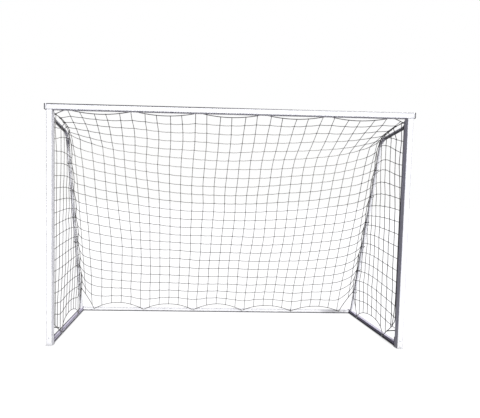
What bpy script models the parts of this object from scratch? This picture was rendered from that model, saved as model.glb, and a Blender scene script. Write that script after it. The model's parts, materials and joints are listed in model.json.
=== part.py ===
"""Futsal goal: a white square-tube mouth with two bent stays, a ground frame and a knotted net.

X runs along the crossbar, Y runs from the mouth to the back, Z is up. The origin lies on the ground,
in the middle of the goal's length and depth. All sizes are in metres.
"""

import math

import bmesh
import bpy
from mathutils import Matrix, Vector

# Clearance between pieces that touch
GAP = 0.0003

# The mouth and the ground plan
MOUTH_WIDTH = 3.0
MOUTH_HEIGHT = 2.0
BASE_DEPTH = 1.0

# Square tube of the crossbar and the posts
FRONT_TUBE = 0.050
FRONT_WALL = 0.002
FRONT_CORNER = 0.005

# Square tube of the ground frame
GROUND_TUBE = 0.035
GROUND_WALL = 0.002
GROUND_CORNER = 0.003
REAR_BAR_END_PLATE = 0.006

# Plastic plugs in the open tube ends
CROSSBAR_CAP_DEPTH = 0.018
FOOT_CAP_DEPTH = 0.012
PLUG_DEPTH = 0.020
CAP_ROUNDING = 0.009
GROUND_CAP_DEPTH = 0.004
GROUND_CAP_ROUNDING = 0.002

# Square spigot that joins a post to the crossbar
CORNER_SPIGOT_LENGTH = 0.115
CORNER_SPIGOT_WALL = 0.004

# Bolts
BOLT_RADIUS = 0.004
BOLT_HEAD_RADIUS = 0.0065
BOLT_HEAD_HEIGHT = 0.004
BOLT_TAIL = 0.003
NUT_RADIUS = 0.0075
NUT_HEIGHT = 0.008

# Flange plates at the front ends of the stays and the side bars
FLANGE_THICKNESS = 0.005
STAY_FLANGE_HEIGHT = 0.090
STAY_BOLT_SPACING = 0.064
SIDE_FLANGE_HEIGHT = 0.085
FOOT_BOLT_HEIGHT = 0.066

# Round tube of the stays: strut, elbow and upright
STAY_RADIUS = 0.016
STAY_WALL = 0.0015
STRUT_DROP = 0.055
ELBOW_SETBACK = 0.452
ELBOW_FALL = 0.061
ELBOW_RADIUS = 0.085
ELBOW_COLLAR = 0.012
UPRIGHT_INSET = 0.057
SPIGOT_LENGTH = 0.055
SPIGOT_WALL = 0.002

# Spring snap buttons in the spigots
BUTTON_RADIUS = 0.004
BUTTON_PROUD = 0.003
BUTTON_CROWN = 0.001
LEAF_WIDTH = 0.006
LEAF_LENGTH = 0.026
LEAF_THICKNESS = 0.0008

# Wire hooks that hold the net's edge rope
HOOK_WIRE_RADIUS = 0.002
HOOK_DROP = 0.013
HOOK_SPACING = 0.556
HOOKS_ALONG_BAR = 6
SIDE_HOOK_FRONT_SETBACK = 0.25
SIDE_HOOK_REAR_SETBACK = 0.24

# The net, whose edge ropes lie at these heights above the crossbar's underside and the ground
NET_CORD = 0.005
TOP_ROPE_RISE = 0.0125
BOTTOM_ROPE_HEIGHT = 0.021
NET_COLUMNS = 15
NET_ROOF_ROWS = 2
NET_BACK_ROWS = 10
SIDE_NET_COLUMNS = 4
SIDE_NET_ROWS = 10
NET_FRONT_CLEARANCE = 0.018
NET_SHOULDER = 0.85

# Facets
CORNER_POINTS = 3
STAY_FACETS = 6
ELBOW_POINTS = 7
BOLT_FACETS = 16
HEX_FACETS = 6

# Places that follow from the sizes
FRONT_Y = -BASE_DEPTH / 2
REAR_Y = BASE_DEPTH / 2
POST_X = MOUTH_WIDTH / 2 + FRONT_TUBE / 2
POST_Y = FRONT_Y + FRONT_TUBE / 2
POST_REAR_Y = FRONT_Y + FRONT_TUBE
CROSSBAR_Z = MOUTH_HEIGHT + FRONT_TUBE / 2
STRUT_HEIGHT = MOUTH_HEIGHT - STRUT_DROP
ELBOW_HEIGHT = STRUT_HEIGHT - ELBOW_FALL
GROUND_Z = GROUND_TUBE / 2
REAR_BAR_Y = REAR_Y - GROUND_TUBE / 2
FLANGE_REAR_Y = POST_REAR_Y + GAP + FLANGE_THICKNESS
NET_SIDE_X = POST_X - max(STAY_RADIUS, GROUND_TUBE / 2) - NET_CORD / 2 - 2 * GAP
SIDE_HOOK_PLACES = (FRONT_Y + SIDE_HOOK_FRONT_SETBACK, REAR_Y - SIDE_HOOK_REAR_SETBACK)
SIDES = {"left": -1, "right": 1}

PARTS = "futsal_goal"
CUTTERS = "cutters"


def clear_scene():
    """Removes what the file holds, so that only this model is left."""
    for item in list(bpy.data.objects):
        bpy.data.objects.remove(item, do_unlink=True)
    for name in (PARTS, CUTTERS):
        group = bpy.data.collections.new(name)
        bpy.context.scene.collection.children.link(group)


def material(name, colour, roughness, metallic=0.0):
    """Returns a Principled material."""
    made = bpy.data.materials.new(name)
    made.use_nodes = True
    shader = made.node_tree.nodes["Principled BSDF"]
    shader.inputs["Base Color"].default_value = (*colour, 1.0)
    shader.inputs["Roughness"].default_value = roughness
    shader.inputs["Metallic"].default_value = metallic
    return made


def finish(obj, surface):
    """Gives a part its own copy of a material."""
    own = surface.copy()
    own.name = obj.name
    obj.data.materials.clear()
    obj.data.materials.append(own)
    return obj


def link(obj, group):
    """Puts a new object in one collection."""
    bpy.data.collections[group].objects.link(obj)
    if group == CUTTERS:
        obj.hide_render = True
        obj.display_type = "WIRE"
    return obj


def mesh_object(name, build, group=PARTS):
    """Makes an object whose mesh is filled in by a bmesh function."""
    mesh = bpy.data.meshes.new(name)
    shape = bmesh.new()
    build(shape)
    bmesh.ops.recalc_face_normals(shape, faces=shape.faces)
    shape.to_mesh(mesh)
    shape.free()
    return link(bpy.data.objects.new(name, mesh), group)


def curve_to_mesh(curve, name, group, placement=Matrix()):
    """Turns a curve object into a closed mesh object and drops the curve."""
    bpy.context.scene.collection.objects.link(curve)
    graph = bpy.context.evaluated_depsgraph_get()
    mesh = bpy.data.meshes.new_from_object(curve.evaluated_get(graph))
    mesh.name = name
    shape = bmesh.new()
    shape.from_mesh(mesh)
    bmesh.ops.remove_doubles(shape, verts=shape.verts, dist=0.00001)
    bmesh.ops.transform(shape, matrix=placement @ curve.matrix_world, verts=shape.verts)
    bmesh.ops.recalc_face_normals(shape, faces=shape.faces)
    shape.to_mesh(mesh)
    shape.free()
    bpy.data.objects.remove(curve, do_unlink=True)
    return link(bpy.data.objects.new(name, mesh), group)


def rounded_square(size, corner):
    """Points of a square with round corners, counter-clockwise."""
    inner = size / 2 - corner
    points = []
    for quarter in range(4):
        middle = Vector((inner, inner)) if quarter == 0 else Vector((-inner, inner))
        if quarter >= 2:
            middle = Vector((-inner, -inner)) if quarter == 2 else Vector((inner, -inner))
        for step in range(CORNER_POINTS):
            angle = math.radians(90 * quarter + 90 * step / (CORNER_POINTS - 1))
            points.append(middle + corner * Vector((math.cos(angle), math.sin(angle))))
    return points


def prism(name, outlines, length, placement, group=PARTS):
    """A flat outline, with holes where outlines lie inside each other, drawn out along local Z."""
    data = bpy.data.curves.new(name, "CURVE")
    data.dimensions = "2D"
    data.fill_mode = "BOTH"
    data.extrude = length / 2
    for outline in outlines:
        spline = data.splines.new("POLY")
        spline.points.add(len(outline) - 1)
        for point, place in zip(spline.points, outline):
            point.co = (place[0], place[1], 0, 1)
        spline.use_cyclic_u = True
    return curve_to_mesh(bpy.data.objects.new(name, data), name, group, placement)


def along(start, end):
    """A placement whose local Z runs from start to end, centred between them, local Y nearest +Z."""
    start, end = Vector(start), Vector(end)
    axis = (end - start).normalized()
    upward = Vector((0, 0, 1)) if abs(axis.z) < 0.9 else Vector((0, 1, 0))
    side = upward.cross(axis).normalized()
    turn = Matrix((side, axis.cross(side), axis)).transposed().to_4x4()
    return Matrix.Translation((start + end) / 2) @ turn


def bore_of(size, wall, corner):
    """Size and corner radius of the space inside a square tube."""
    return size - 2 * wall, max(corner - wall, 2 * GAP)


def plug_of(size, wall, corner):
    """Size and corner radius of a square plug that slides into a square tube."""
    bore_size, bore_corner = bore_of(size, wall, corner)
    return bore_size - 2 * GAP, bore_corner


def square_tube(name, start, end, size, wall, corner, group=PARTS):
    """A hollow square tube between two points."""
    bore = rounded_square(*bore_of(size, wall, corner))
    length = (Vector(end) - Vector(start)).length
    return prism(name, [rounded_square(size, corner), bore], length, along(start, end), group)


def square_bar(name, start, end, size, corner, group=PARTS):
    """A solid square bar between two points."""
    length = (Vector(end) - Vector(start)).length
    return prism(name, [rounded_square(size, corner)], length, along(start, end), group)


def round_rod(name, points, radius, facets=STAY_FACETS, group=PARTS):
    """A solid round rod along a line of points."""
    data = bpy.data.curves.new(name, "CURVE")
    data.dimensions = "3D"
    data.twist_mode = "Z_UP"
    data.bevel_depth = radius
    data.bevel_resolution = facets
    data.use_fill_caps = True
    spline = data.splines.new("POLY")
    spline.points.add(len(points) - 1)
    for point, place in zip(spline.points, points):
        point.co = (*place, 1)
    return curve_to_mesh(bpy.data.objects.new(name, data), name, group)


def cylinder(name, start, end, radius, facets=BOLT_FACETS, group=PARTS):
    """A solid cylinder or regular prism between two points."""
    length = (Vector(end) - Vector(start)).length

    def build(shape):
        bmesh.ops.create_cone(
            shape, cap_ends=True, segments=facets, radius1=radius, radius2=radius,
            depth=length, matrix=along(start, end),
        )

    return mesh_object(name, build, group)


def box(name, low, high, group=PARTS):
    """A box between two corners."""
    low, high = Vector(low), Vector(high)
    size = high - low
    placement = Matrix.Translation((low + high) / 2) @ Matrix.Diagonal((*size, 1))
    return mesh_object(name, lambda shape: bmesh.ops.create_cube(shape, size=1, matrix=placement), group)


def boolean(target, other, operation):
    """Adds one exact Boolean to a part."""
    step = target.modifiers.new(operation.title() + " " + other.name, "BOOLEAN")
    step.operation = operation
    step.object = other
    step.solver = "EXACT"
    return target


def cut(target, *cutters):
    """Takes cutters away from a part."""
    for cutter in cutters:
        boolean(target, cutter, "DIFFERENCE")
    return target


def weld(target, *others):
    """Joins welded pieces to a part."""
    for other in others:
        boolean(target, other, "UNION")
    return target


def place(x, y, z):
    """A point as a vector."""
    return Vector((x, y, z))


def stay_line(side):
    """Centre line of a stay: the post end, both ends of the bend, the points of the bend, the foot."""
    x = SIDES[side] * POST_X
    front = place(x, POST_REAR_Y, STRUT_HEIGHT)
    corner = place(x, FRONT_Y + ELBOW_SETBACK, ELBOW_HEIGHT)
    foot = place(x, REAR_Y - UPRIGHT_INSET, GROUND_TUBE)
    back = (corner - front).normalized()
    down = (foot - corner).normalized()
    turn = back.angle(down)
    reach = ELBOW_RADIUS * math.tan(turn / 2)
    centre = corner + (down - back).normalized() * (ELBOW_RADIUS / math.cos(turn / 2))
    first = corner - back * reach - centre
    axis = first.cross(corner + down * reach - centre).normalized()
    bend = [
        centre + Matrix.Rotation(turn * step / (ELBOW_POINTS - 1), 3, axis) @ first
        for step in range(ELBOW_POINTS)
    ]
    return front, back, bend, down, foot


def domed_cap(name, face, outward, size, corner, depth, rounding, plug, plug_depth):
    """A plug for a square tube end: a head with round edges outside and a square plug inside."""
    face, outward = Vector(face), Vector(outward)
    head = square_bar(name, face + outward * GAP, face + outward * depth, size, corner)
    far = depth - rounding * 0.02
    shape = bmesh.new()
    shape.from_mesh(head.data)
    rim = [
        edge for edge in shape.edges
        if all((v.co - face).dot(outward) > far for v in edge.verts) and edge.calc_face_angle() > 0.5
    ]
    bmesh.ops.bevel(
        shape, geom=rim, offset=rounding, offset_type="OFFSET", segments=4, profile=0.5,
        affect="EDGES", clamp_overlap=True,
    )
    bmesh.ops.remove_doubles(shape, verts=shape.verts, dist=0.00001)
    shape.to_mesh(head.data)
    shape.free()
    inside = square_bar(
        name + "_plug", face - outward * plug_depth, face + outward * depth / 3, *plug, CUTTERS
    )
    return weld(head, inside)


def build_front_frame(paint, plastic, steel):
    """Crossbar, posts, corner spigots and the caps in their open ends."""
    half = MOUTH_WIDTH / 2 + FRONT_TUBE
    crossbar = square_tube(
        "crossbar", place(-half, POST_Y, CROSSBAR_Z), place(half, POST_Y, CROSSBAR_Z),
        FRONT_TUBE, FRONT_WALL, FRONT_CORNER,
    )
    finish(crossbar, paint)
    plug = plug_of(FRONT_TUBE, FRONT_WALL, FRONT_CORNER)
    for side, sign in SIDES.items():
        cap = domed_cap(
            "crossbar_end_cap_" + side, place(sign * half, POST_Y, CROSSBAR_Z), place(sign, 0, 0),
            FRONT_TUBE, FRONT_CORNER, CROSSBAR_CAP_DEPTH, CAP_ROUNDING, plug, PLUG_DEPTH,
        )
        finish(cap, plastic)
        x = sign * POST_X
        post = square_tube(
            "post_" + side, place(x, POST_Y, FOOT_CAP_DEPTH), place(x, POST_Y, MOUTH_HEIGHT - GAP),
            FRONT_TUBE, FRONT_WALL, FRONT_CORNER,
        )
        finish(post, paint)
        foot = domed_cap(
            "post_foot_cap_" + side, place(x, POST_Y, FOOT_CAP_DEPTH), place(0, 0, -1),
            FRONT_TUBE, FRONT_CORNER, FOOT_CAP_DEPTH, CAP_ROUNDING, plug, PLUG_DEPTH,
        )
        finish(foot, plastic)
        spigot = square_tube(
            "corner_spigot_" + side, place(x, POST_Y, MOUTH_HEIGHT - CORNER_SPIGOT_LENGTH),
            place(x, POST_Y, MOUTH_HEIGHT - GAP), plug[0], CORNER_SPIGOT_WALL, plug[1],
        )
        finish(spigot, steel)


def bolt(name, seat, outward, grip, surface):
    """A round-headed bolt: the head stands on the seat, the shank runs through the grip."""
    seat, outward = Vector(seat), Vector(outward)
    head = cylinder(name, seat + outward * GAP, seat + outward * BOLT_HEAD_HEIGHT, BOLT_HEAD_RADIUS)
    shape = bmesh.new()
    shape.from_mesh(head.data)
    top = [
        edge for edge in shape.edges
        if all((v.co - seat).dot(outward) > BOLT_HEAD_HEIGHT * 0.9 for v in edge.verts)
    ]
    bmesh.ops.bevel(
        shape, geom=top, offset=BOLT_HEAD_HEIGHT * 0.5, segments=2, profile=0.5, affect="EDGES",
        clamp_overlap=True,
    )
    shape.to_mesh(head.data)
    shape.free()
    shank = cylinder(
        name + "_shank", seat + outward * BOLT_HEAD_HEIGHT / 2, seat - outward * grip, BOLT_RADIUS,
        group=CUTTERS,
    )
    return finish(weld(head, shank), surface)


def bolt_hole(name, seat, outward, reach):
    """A cutter for a bolt's hole, from in front of its seat down to a depth."""
    seat, outward = Vector(seat), Vector(outward)
    return cylinder(
        name, seat + outward * BOLT_HEAD_HEIGHT, seat - outward * reach, BOLT_RADIUS + GAP,
        group=CUTTERS,
    )


def build_ground_frame(paint, plastic, steel):
    """Side bars with their flanges, the rear bar, and the bolts that hold them."""
    inner_x = POST_X - GROUND_TUBE / 2
    rear_bar = square_bar(
        "rear_bar", place(-inner_x + GAP, REAR_BAR_Y, GROUND_Z), place(inner_x - GAP, REAR_BAR_Y, GROUND_Z),
        GROUND_TUBE, GROUND_CORNER,
    )
    hollow_x = inner_x - GAP - REAR_BAR_END_PLATE
    hollow = square_bar(
        "rear_bar_hollow", place(-hollow_x, REAR_BAR_Y, GROUND_Z), place(hollow_x, REAR_BAR_Y, GROUND_Z),
        *bore_of(GROUND_TUBE, GROUND_WALL, GROUND_CORNER), CUTTERS,
    )
    cut(rear_bar, hollow)
    finish(rear_bar, paint)
    for side, sign in SIDES.items():
        x = sign * POST_X
        bar = square_tube(
            "side_bar_" + side, place(x, FLANGE_REAR_Y - FLANGE_THICKNESS / 2, GROUND_Z),
            place(x, REAR_Y, GROUND_Z), GROUND_TUBE, GROUND_WALL, GROUND_CORNER,
        )
        flange = box(
            "side_flange_" + side, place(x - FRONT_TUBE / 2, POST_REAR_Y + GAP, 0),
            place(x + FRONT_TUBE / 2, FLANGE_REAR_Y, SIDE_FLANGE_HEIGHT), CUTTERS,
        )
        nut_face = FLANGE_REAR_Y + NUT_HEIGHT
        nut = cylinder(
            "side_nut_" + side, place(x, FLANGE_REAR_Y - FLANGE_THICKNESS / 2, FOOT_BOLT_HEIGHT),
            place(x, nut_face, FOOT_BOLT_HEIGHT), NUT_RADIUS, HEX_FACETS, CUTTERS,
        )
        weld(bar, flange, nut)
        seat = place(x, FRONT_Y, FOOT_BOLT_HEIGHT)
        grip = nut_face - FRONT_Y + BOLT_TAIL
        foot_hole = bolt_hole("foot_hole_" + side, seat, place(0, -1, 0), grip + BOLT_TAIL)
        cut(bpy.data.objects["post_" + side], foot_hole)
        cut(bar, foot_hole)
        bolt("foot_bolt_" + side, seat, place(0, -1, 0), grip, steel)

        outer = place(sign * (POST_X + GROUND_TUBE / 2), REAR_BAR_Y, GROUND_Z)
        reach = GROUND_TUBE + GAP + REAR_BAR_END_PLATE + BOLT_TAIL
        corner_hole = bolt_hole("corner_hole_" + side, outer, place(sign, 0, 0), reach + BOLT_TAIL)
        cut(bar, corner_hole)
        cut(rear_bar, corner_hole)
        bolt("rear_corner_bolt_" + side, outer, place(sign, 0, 0), reach, steel)
        finish(bar, paint)

        plug_depth = GROUND_TUBE / 2 - BOLT_RADIUS - BOLT_TAIL
        cap = domed_cap(
            "side_bar_end_cap_" + side, place(x, REAR_Y, GROUND_Z), place(0, 1, 0), GROUND_TUBE,
            GROUND_CORNER, GROUND_CAP_DEPTH, GROUND_CAP_ROUNDING,
            plug_of(GROUND_TUBE, GROUND_WALL, GROUND_CORNER), plug_depth,
        )
        finish(cap, plastic)


def snap_button(name, middle, sign, direction, steel):
    """A spring button with its leaf: it stands through a tube wall and slides in towards the axis."""
    inside = STAY_RADIUS - STAY_WALL - GAP - SPIGOT_WALL
    half_chord = LEAF_WIDTH / 2
    leaf_top = math.sqrt((inside - 2 * GAP) ** 2 - half_chord**2) - GAP
    outward = place(sign, 0, 0)
    top = middle + outward * (STAY_RADIUS + BUTTON_PROUD)
    button = cylinder(name, middle + outward * (leaf_top - LEAF_THICKNESS / 2), top, BUTTON_RADIUS)
    shape = bmesh.new()
    shape.from_mesh(button.data)
    rim = [
        edge for edge in shape.edges
        if all((v.co - top).dot(outward) > -BUTTON_CROWN * 0.1 for v in edge.verts)
    ]
    bmesh.ops.bevel(
        shape, geom=rim, offset=BUTTON_CROWN, segments=2, profile=0.5, affect="EDGES", clamp_overlap=True,
    )
    shape.to_mesh(button.data)
    shape.free()
    centre = middle + outward * (leaf_top - LEAF_THICKNESS / 2)
    cross = outward.cross(direction).normalized()
    turn = Matrix((outward, cross, direction)).transposed().to_4x4()
    scale = Matrix.Diagonal((LEAF_THICKNESS, LEAF_WIDTH, LEAF_LENGTH, 1))
    placement = Matrix.Translation(centre) @ turn @ scale
    leaf = mesh_object(
        name + "_leaf", lambda shape: bmesh.ops.create_cube(shape, size=1, matrix=placement), CUTTERS
    )
    return finish(weld(button, leaf), steel)


def button_hole(name, middle, sign):
    """A cutter for a button's hole through the outer wall of a tube and its spigot."""
    outward = place(sign, 0, 0)
    return cylinder(
        name, middle + outward * STAY_RADIUS / 4, middle + outward * STAY_RADIUS * 2,
        BUTTON_RADIUS + GAP, group=CUTTERS,
    )


def build_stay(side, paint, steel):
    """Strut, elbow and upright on one side, with the spigots and buttons that lock them."""
    sign = SIDES[side]
    front, back, bend, down, foot = stay_line(side)
    inside = STAY_RADIUS - STAY_WALL
    spigot = inside - GAP
    bore = spigot - SPIGOT_WALL
    x = front.x

    strut_end = bend[0] - back * (ELBOW_COLLAR + GAP)
    strut = round_rod("strut_" + side, [front - back * STAY_RADIUS, strut_end], STAY_RADIUS)
    ahead = box(
        "ahead_of_strut_" + side, front - place(STAY_RADIUS * 2, STAY_RADIUS * 2, STAY_RADIUS * 2),
        front + place(STAY_RADIUS * 2, FLANGE_THICKNESS / 2, STAY_RADIUS * 2), CUTTERS,
    )
    flange = box(
        "strut_flange_" + side,
        place(x - FRONT_TUBE / 2, POST_REAR_Y + GAP, STRUT_HEIGHT - STAY_FLANGE_HEIGHT / 2),
        place(x + FRONT_TUBE / 2, FLANGE_REAR_Y, STRUT_HEIGHT + STAY_FLANGE_HEIGHT / 2), CUTTERS,
    )
    clear = FLANGE_THICKNESS + STAY_RADIUS / 2
    strut_bore = round_rod(
        "strut_bore_" + side, [front + back * clear, strut_end + back * STAY_RADIUS], inside,
        group=CUTTERS,
    )
    cut(strut, ahead)
    weld(strut, flange)
    cut(strut, strut_bore)
    for name, offset in (("upper", 1), ("lower", -1)):
        seat = place(x, FLANGE_REAR_Y, STRUT_HEIGHT + offset * STAY_BOLT_SPACING / 2)
        through = FLANGE_THICKNESS + GAP + FRONT_WALL + GAP + CORNER_SPIGOT_WALL
        grip = through + BOLT_TAIL
        hole = bolt_hole(name + "_hole_" + side, seat, place(0, 1, 0), grip + BOLT_TAIL)
        cut(strut, hole)
        cut(bpy.data.objects["post_" + side], hole)
        cut(bpy.data.objects["corner_spigot_" + side], hole)
        bolt("strut_bolt_" + name + "_" + side, seat, place(0, 1, 0), grip, steel)

    elbow_start = bend[0] - back * ELBOW_COLLAR
    elbow_end = bend[-1] + down * ELBOW_COLLAR
    elbow = round_rod("elbow_" + side, [elbow_start, *bend, elbow_end], STAY_RADIUS)
    upper_spigot = round_rod(
        "elbow_upper_spigot_" + side, [elbow_start - back * SPIGOT_LENGTH, elbow_start + back * GAP],
        spigot, group=CUTTERS,
    )
    lower_spigot = round_rod(
        "elbow_lower_spigot_" + side, [elbow_end - down * GAP, elbow_end + down * SPIGOT_LENGTH],
        spigot, group=CUTTERS,
    )
    elbow_bore = round_rod(
        "elbow_bore_" + side,
        [elbow_start - back * SPIGOT_LENGTH * 1.1, *bend, elbow_end + down * SPIGOT_LENGTH * 1.1],
        bore, group=CUTTERS,
    )
    weld(elbow, upper_spigot, lower_spigot)
    cut(elbow, elbow_bore)

    upright = round_rod(
        "upright_" + side, [elbow_end + down * GAP, foot + down * STAY_RADIUS], STAY_RADIUS
    )
    upright_bore = round_rod(
        "upright_bore_" + side, [elbow_end - down * STAY_RADIUS, foot + down * STAY_RADIUS * 2],
        inside, group=CUTTERS,
    )
    below = box(
        "below_upright_" + side, place(x - STAY_RADIUS * 2, foot.y - STAY_RADIUS * 4, -GROUND_TUBE),
        place(x + STAY_RADIUS * 2, foot.y + STAY_RADIUS * 4, GROUND_TUBE + GAP), CUTTERS,
    )
    cut(upright, upright_bore, below)
    stub = round_rod(
        "upright_spigot_" + side, [foot - down * SPIGOT_LENGTH, foot + down * STAY_RADIUS], spigot
    )
    stub_bore = round_rod(
        "upright_spigot_bore_" + side,
        [foot - down * SPIGOT_LENGTH * 1.1, foot + down * STAY_RADIUS * 2], bore, group=CUTTERS,
    )
    cut(stub, stub_bore, below)

    middles = {
        "strut": (elbow_start - back * SPIGOT_LENGTH / 2, back, (strut, elbow)),
        "elbow": (elbow_end + down * SPIGOT_LENGTH / 2, down, (elbow, upright)),
        "foot": (foot - down * SPIGOT_LENGTH / 2, down, (stub, upright)),
    }
    for name, (middle, direction, pieces) in middles.items():
        hole = button_hole(name + "_button_hole_" + side, middle, sign)
        for piece in pieces:
            cut(piece, hole)
        snap_button("snap_button_" + name + "_" + side, middle, sign, direction, steel)
    finish(strut, paint)
    finish(elbow, paint)
    finish(upright, paint)
    finish(stub, steel)


def hook(name, seat, outward, pull, surface):
    """A wire hook that leaves a face, passes the net's edge rope and turns back against its pull."""
    seat, outward, pull = Vector(seat), Vector(outward), Vector(pull)
    reach = NET_CORD + 4 * GAP + HOOK_WIRE_RADIUS
    turn = HOOK_WIRE_RADIUS
    line = [seat + outward * GAP, seat + outward * (reach - turn)]
    line.append(seat + outward * (reach - turn * 0.3) - pull * turn * 0.3)
    line.append(seat + outward * reach - pull * turn)
    line.append(seat + outward * reach - pull * HOOK_DROP)
    return finish(round_rod(name, line, HOOK_WIRE_RADIUS, 2), surface)


def rope_offset():
    """Distance from a face to the centre of the net's edge rope that a hook holds there."""
    return NET_CORD / 2 + 2 * GAP


def build_hooks(steel):
    """Hooks along the crossbar, the rear bar and the side bars."""
    lift = NET_CORD / 2 + GAP + HOOK_WIRE_RADIUS
    for index in range(HOOKS_ALONG_BAR):
        x = (index - (HOOKS_ALONG_BAR - 1) / 2) * HOOK_SPACING
        number = str(index + 1)
        top_seat = place(x, POST_REAR_Y, edge_heights()[0] - lift)
        hook("crossbar_hook_" + number, top_seat, place(0, 1, 0), place(0, 0, -1), steel)
        rear_seat = place(x, REAR_Y - GROUND_TUBE, edge_heights()[1] + lift)
        hook("rear_hook_" + number, rear_seat, place(0, -1, 0), place(0, 0, 1), steel)
    for side, sign in SIDES.items():
        for index, y in enumerate(SIDE_HOOK_PLACES):
            seat = place(sign * (POST_X - GROUND_TUBE / 2), y, edge_heights()[1] + lift)
            hook("side_hook_" + side + "_" + str(index + 1), seat, place(-sign, 0, 0), place(0, 0, 1), steel)


def edge_heights():
    """Heights of the net's top rope behind the crossbar and of its bottom rope at the ground frame."""
    return MOUTH_HEIGHT + TOP_ROPE_RISE, BOTTOM_ROPE_HEIGHT


def rounded_share(share, first, second):
    """Place on a quadratic curve, 0 to 1, that lies a share of its length on, from its two legs."""
    return (math.sqrt(first**2 + share * (second**2 - first**2)) - first) / (second - first)


def lattice(name, columns, rows, point, surface):
    """A net panel: a grid shaped by a formula of two shares, whose edges become cords."""

    def build(shape):
        bmesh.ops.create_grid(shape, x_segments=columns, y_segments=rows, size=0.5)
        for vertex in shape.verts:
            vertex.co = point(vertex.co.x + 0.5, vertex.co.y + 0.5)

    panel = mesh_object(name, build)
    cords = panel.modifiers.new("Cords", "WIREFRAME")
    cords.thickness = NET_CORD
    cords.offset = 0
    cords.use_replace = True
    cords.use_boundary = True
    cords.use_even_offset = False
    cords.use_relative_offset = False
    return finish(panel, surface)


def build_net(cord):
    """Back net with its roof, and the two side nets.

    The back net folds over the elbows at its ends. Between them nothing carries the fold, so it hangs
    in a curve that starts at the crossbar and comes down to the rear bar, and from the ends to the
    middle it passes from the one to the other with the square of the distance from the middle.
    """
    front, back, bend, down, foot = stay_line("right")
    top, bottom = edge_heights()
    start = place(0, POST_REAR_Y + rope_offset(), top)
    fold = place(0, FRONT_Y + ELBOW_SETBACK, ELBOW_HEIGHT)
    end = place(0, REAR_Y - GROUND_TUBE - rope_offset(), bottom)
    roof_share = NET_ROOF_ROWS / (NET_ROOF_ROWS + NET_BACK_ROWS)
    half = NET_SIDE_X - NET_CORD - 2 * GAP
    shoulder = end.lerp(fold, NET_SHOULDER)
    legs = (shoulder - start).length, (end - shoulder).length

    def back_point(across, along_net):
        if along_net < roof_share:
            folded = start.lerp(fold, along_net / roof_share)
        else:
            folded = fold.lerp(end, (along_net - roof_share) / (1 - roof_share))
        share = rounded_share(along_net, *legs)
        draped = start.lerp(shoulder, share).lerp(shoulder.lerp(end, share), share)
        from_middle = 2 * across - 1
        spot = draped.lerp(folded, from_middle**2)
        return place(from_middle * half, spot.y, spot.z)

    lattice("net_back", NET_COLUMNS, NET_ROOF_ROWS + NET_BACK_ROWS, back_point, cord)

    near = POST_REAR_Y + NET_FRONT_CLEARANCE
    front_top = front + back * NET_FRONT_CLEARANCE
    for side, sign in SIDES.items():

        def side_point(inward, up):
            low = place(0, near, bottom).lerp(place(0, end.y, bottom), inward)
            high = place(0, near, front_top.z).lerp(fold, inward)
            spot = low.lerp(high, up)
            return place(sign * NET_SIDE_X, spot.y, spot.z)

        lattice("net_" + side, SIDE_NET_COLUMNS, SIDE_NET_ROWS, side_point, cord)


def main():
    """Builds the goal."""
    clear_scene()
    paint = material("white_paint", (0.86, 0.87, 0.88), 0.35)
    plastic = material("white_plastic", (0.80, 0.81, 0.82), 0.50)
    steel = material("zinc_steel", (0.62, 0.63, 0.65), 0.35, 1.0)
    cord = material("net_cord", (0.90, 0.90, 0.89), 0.85)
    build_front_frame(paint, plastic, steel)
    build_ground_frame(paint, plastic, steel)
    for side in SIDES:
        build_stay(side, paint, steel)
    build_hooks(steel)
    build_net(cord)


main()
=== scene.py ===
"""Looks of the futsal goal: camera, light, painted frame and knotted net.

X runs along the crossbar, Y from the mouth to the back and Z up, in metres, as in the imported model.
The net is hung by formula: a large form, then the scallops that its ropes make between the hooks.
"""

from __future__ import annotations

import json
import logging
import math
from collections.abc import Iterator
from dataclasses import dataclass, field, replace
from enum import Enum
from typing import Any

import bpy
import numpy as np
from mathutils import Matrix, Vector
from numpy.typing import NDArray


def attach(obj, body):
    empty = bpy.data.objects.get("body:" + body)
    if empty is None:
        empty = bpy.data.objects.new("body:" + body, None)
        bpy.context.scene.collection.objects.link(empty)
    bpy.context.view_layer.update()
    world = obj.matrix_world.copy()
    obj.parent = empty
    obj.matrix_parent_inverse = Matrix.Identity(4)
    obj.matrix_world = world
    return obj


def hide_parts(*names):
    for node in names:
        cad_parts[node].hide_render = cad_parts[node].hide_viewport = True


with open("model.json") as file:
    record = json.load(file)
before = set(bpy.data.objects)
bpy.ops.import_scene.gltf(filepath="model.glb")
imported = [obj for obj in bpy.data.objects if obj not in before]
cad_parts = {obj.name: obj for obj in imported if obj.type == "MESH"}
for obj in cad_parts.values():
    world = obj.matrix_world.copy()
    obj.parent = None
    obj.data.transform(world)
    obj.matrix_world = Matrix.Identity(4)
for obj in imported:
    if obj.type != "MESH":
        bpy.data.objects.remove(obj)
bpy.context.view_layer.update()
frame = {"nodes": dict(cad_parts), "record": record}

Array = NDArray[np.float64]
Pair = tuple[float, float]
Triple = tuple[float, float, float]
Material, Node, Tree = bpy.types.Material, bpy.types.Node, bpy.types.NodeTree
LOG = logging.getLogger("futsal_goal")
TAU = 2 * math.pi
X_WAY, Y_WAY, Z_WAY = np.eye(3)
CORD_SIDES, ROPE_SIDES = 6, 8
KNOT_SEGMENTS, KNOT_RINGS, KNOT_SWELLING = 8, 4, 0.22
UV_NAME = "lay"


class Slot(Enum):
    """Material slots of the record."""

    PAINT = "white_paint"
    PLASTIC = "white_plastic"
    STEEL = "zinc_steel"
    CORD = "net_cord"


class Side(Enum):
    """The two ends of the goal, with the sign of their X."""

    LEFT = -1
    RIGHT = 1

    @property
    def label(self) -> str:
        """Name of the side as the nodes spell it."""
        return self.name.lower()

    @property
    def mirror(self) -> Array:
        """Factors that turn a point of the right end into one of this end."""
        return np.array([self.value, 1.0, 1.0])


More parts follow.
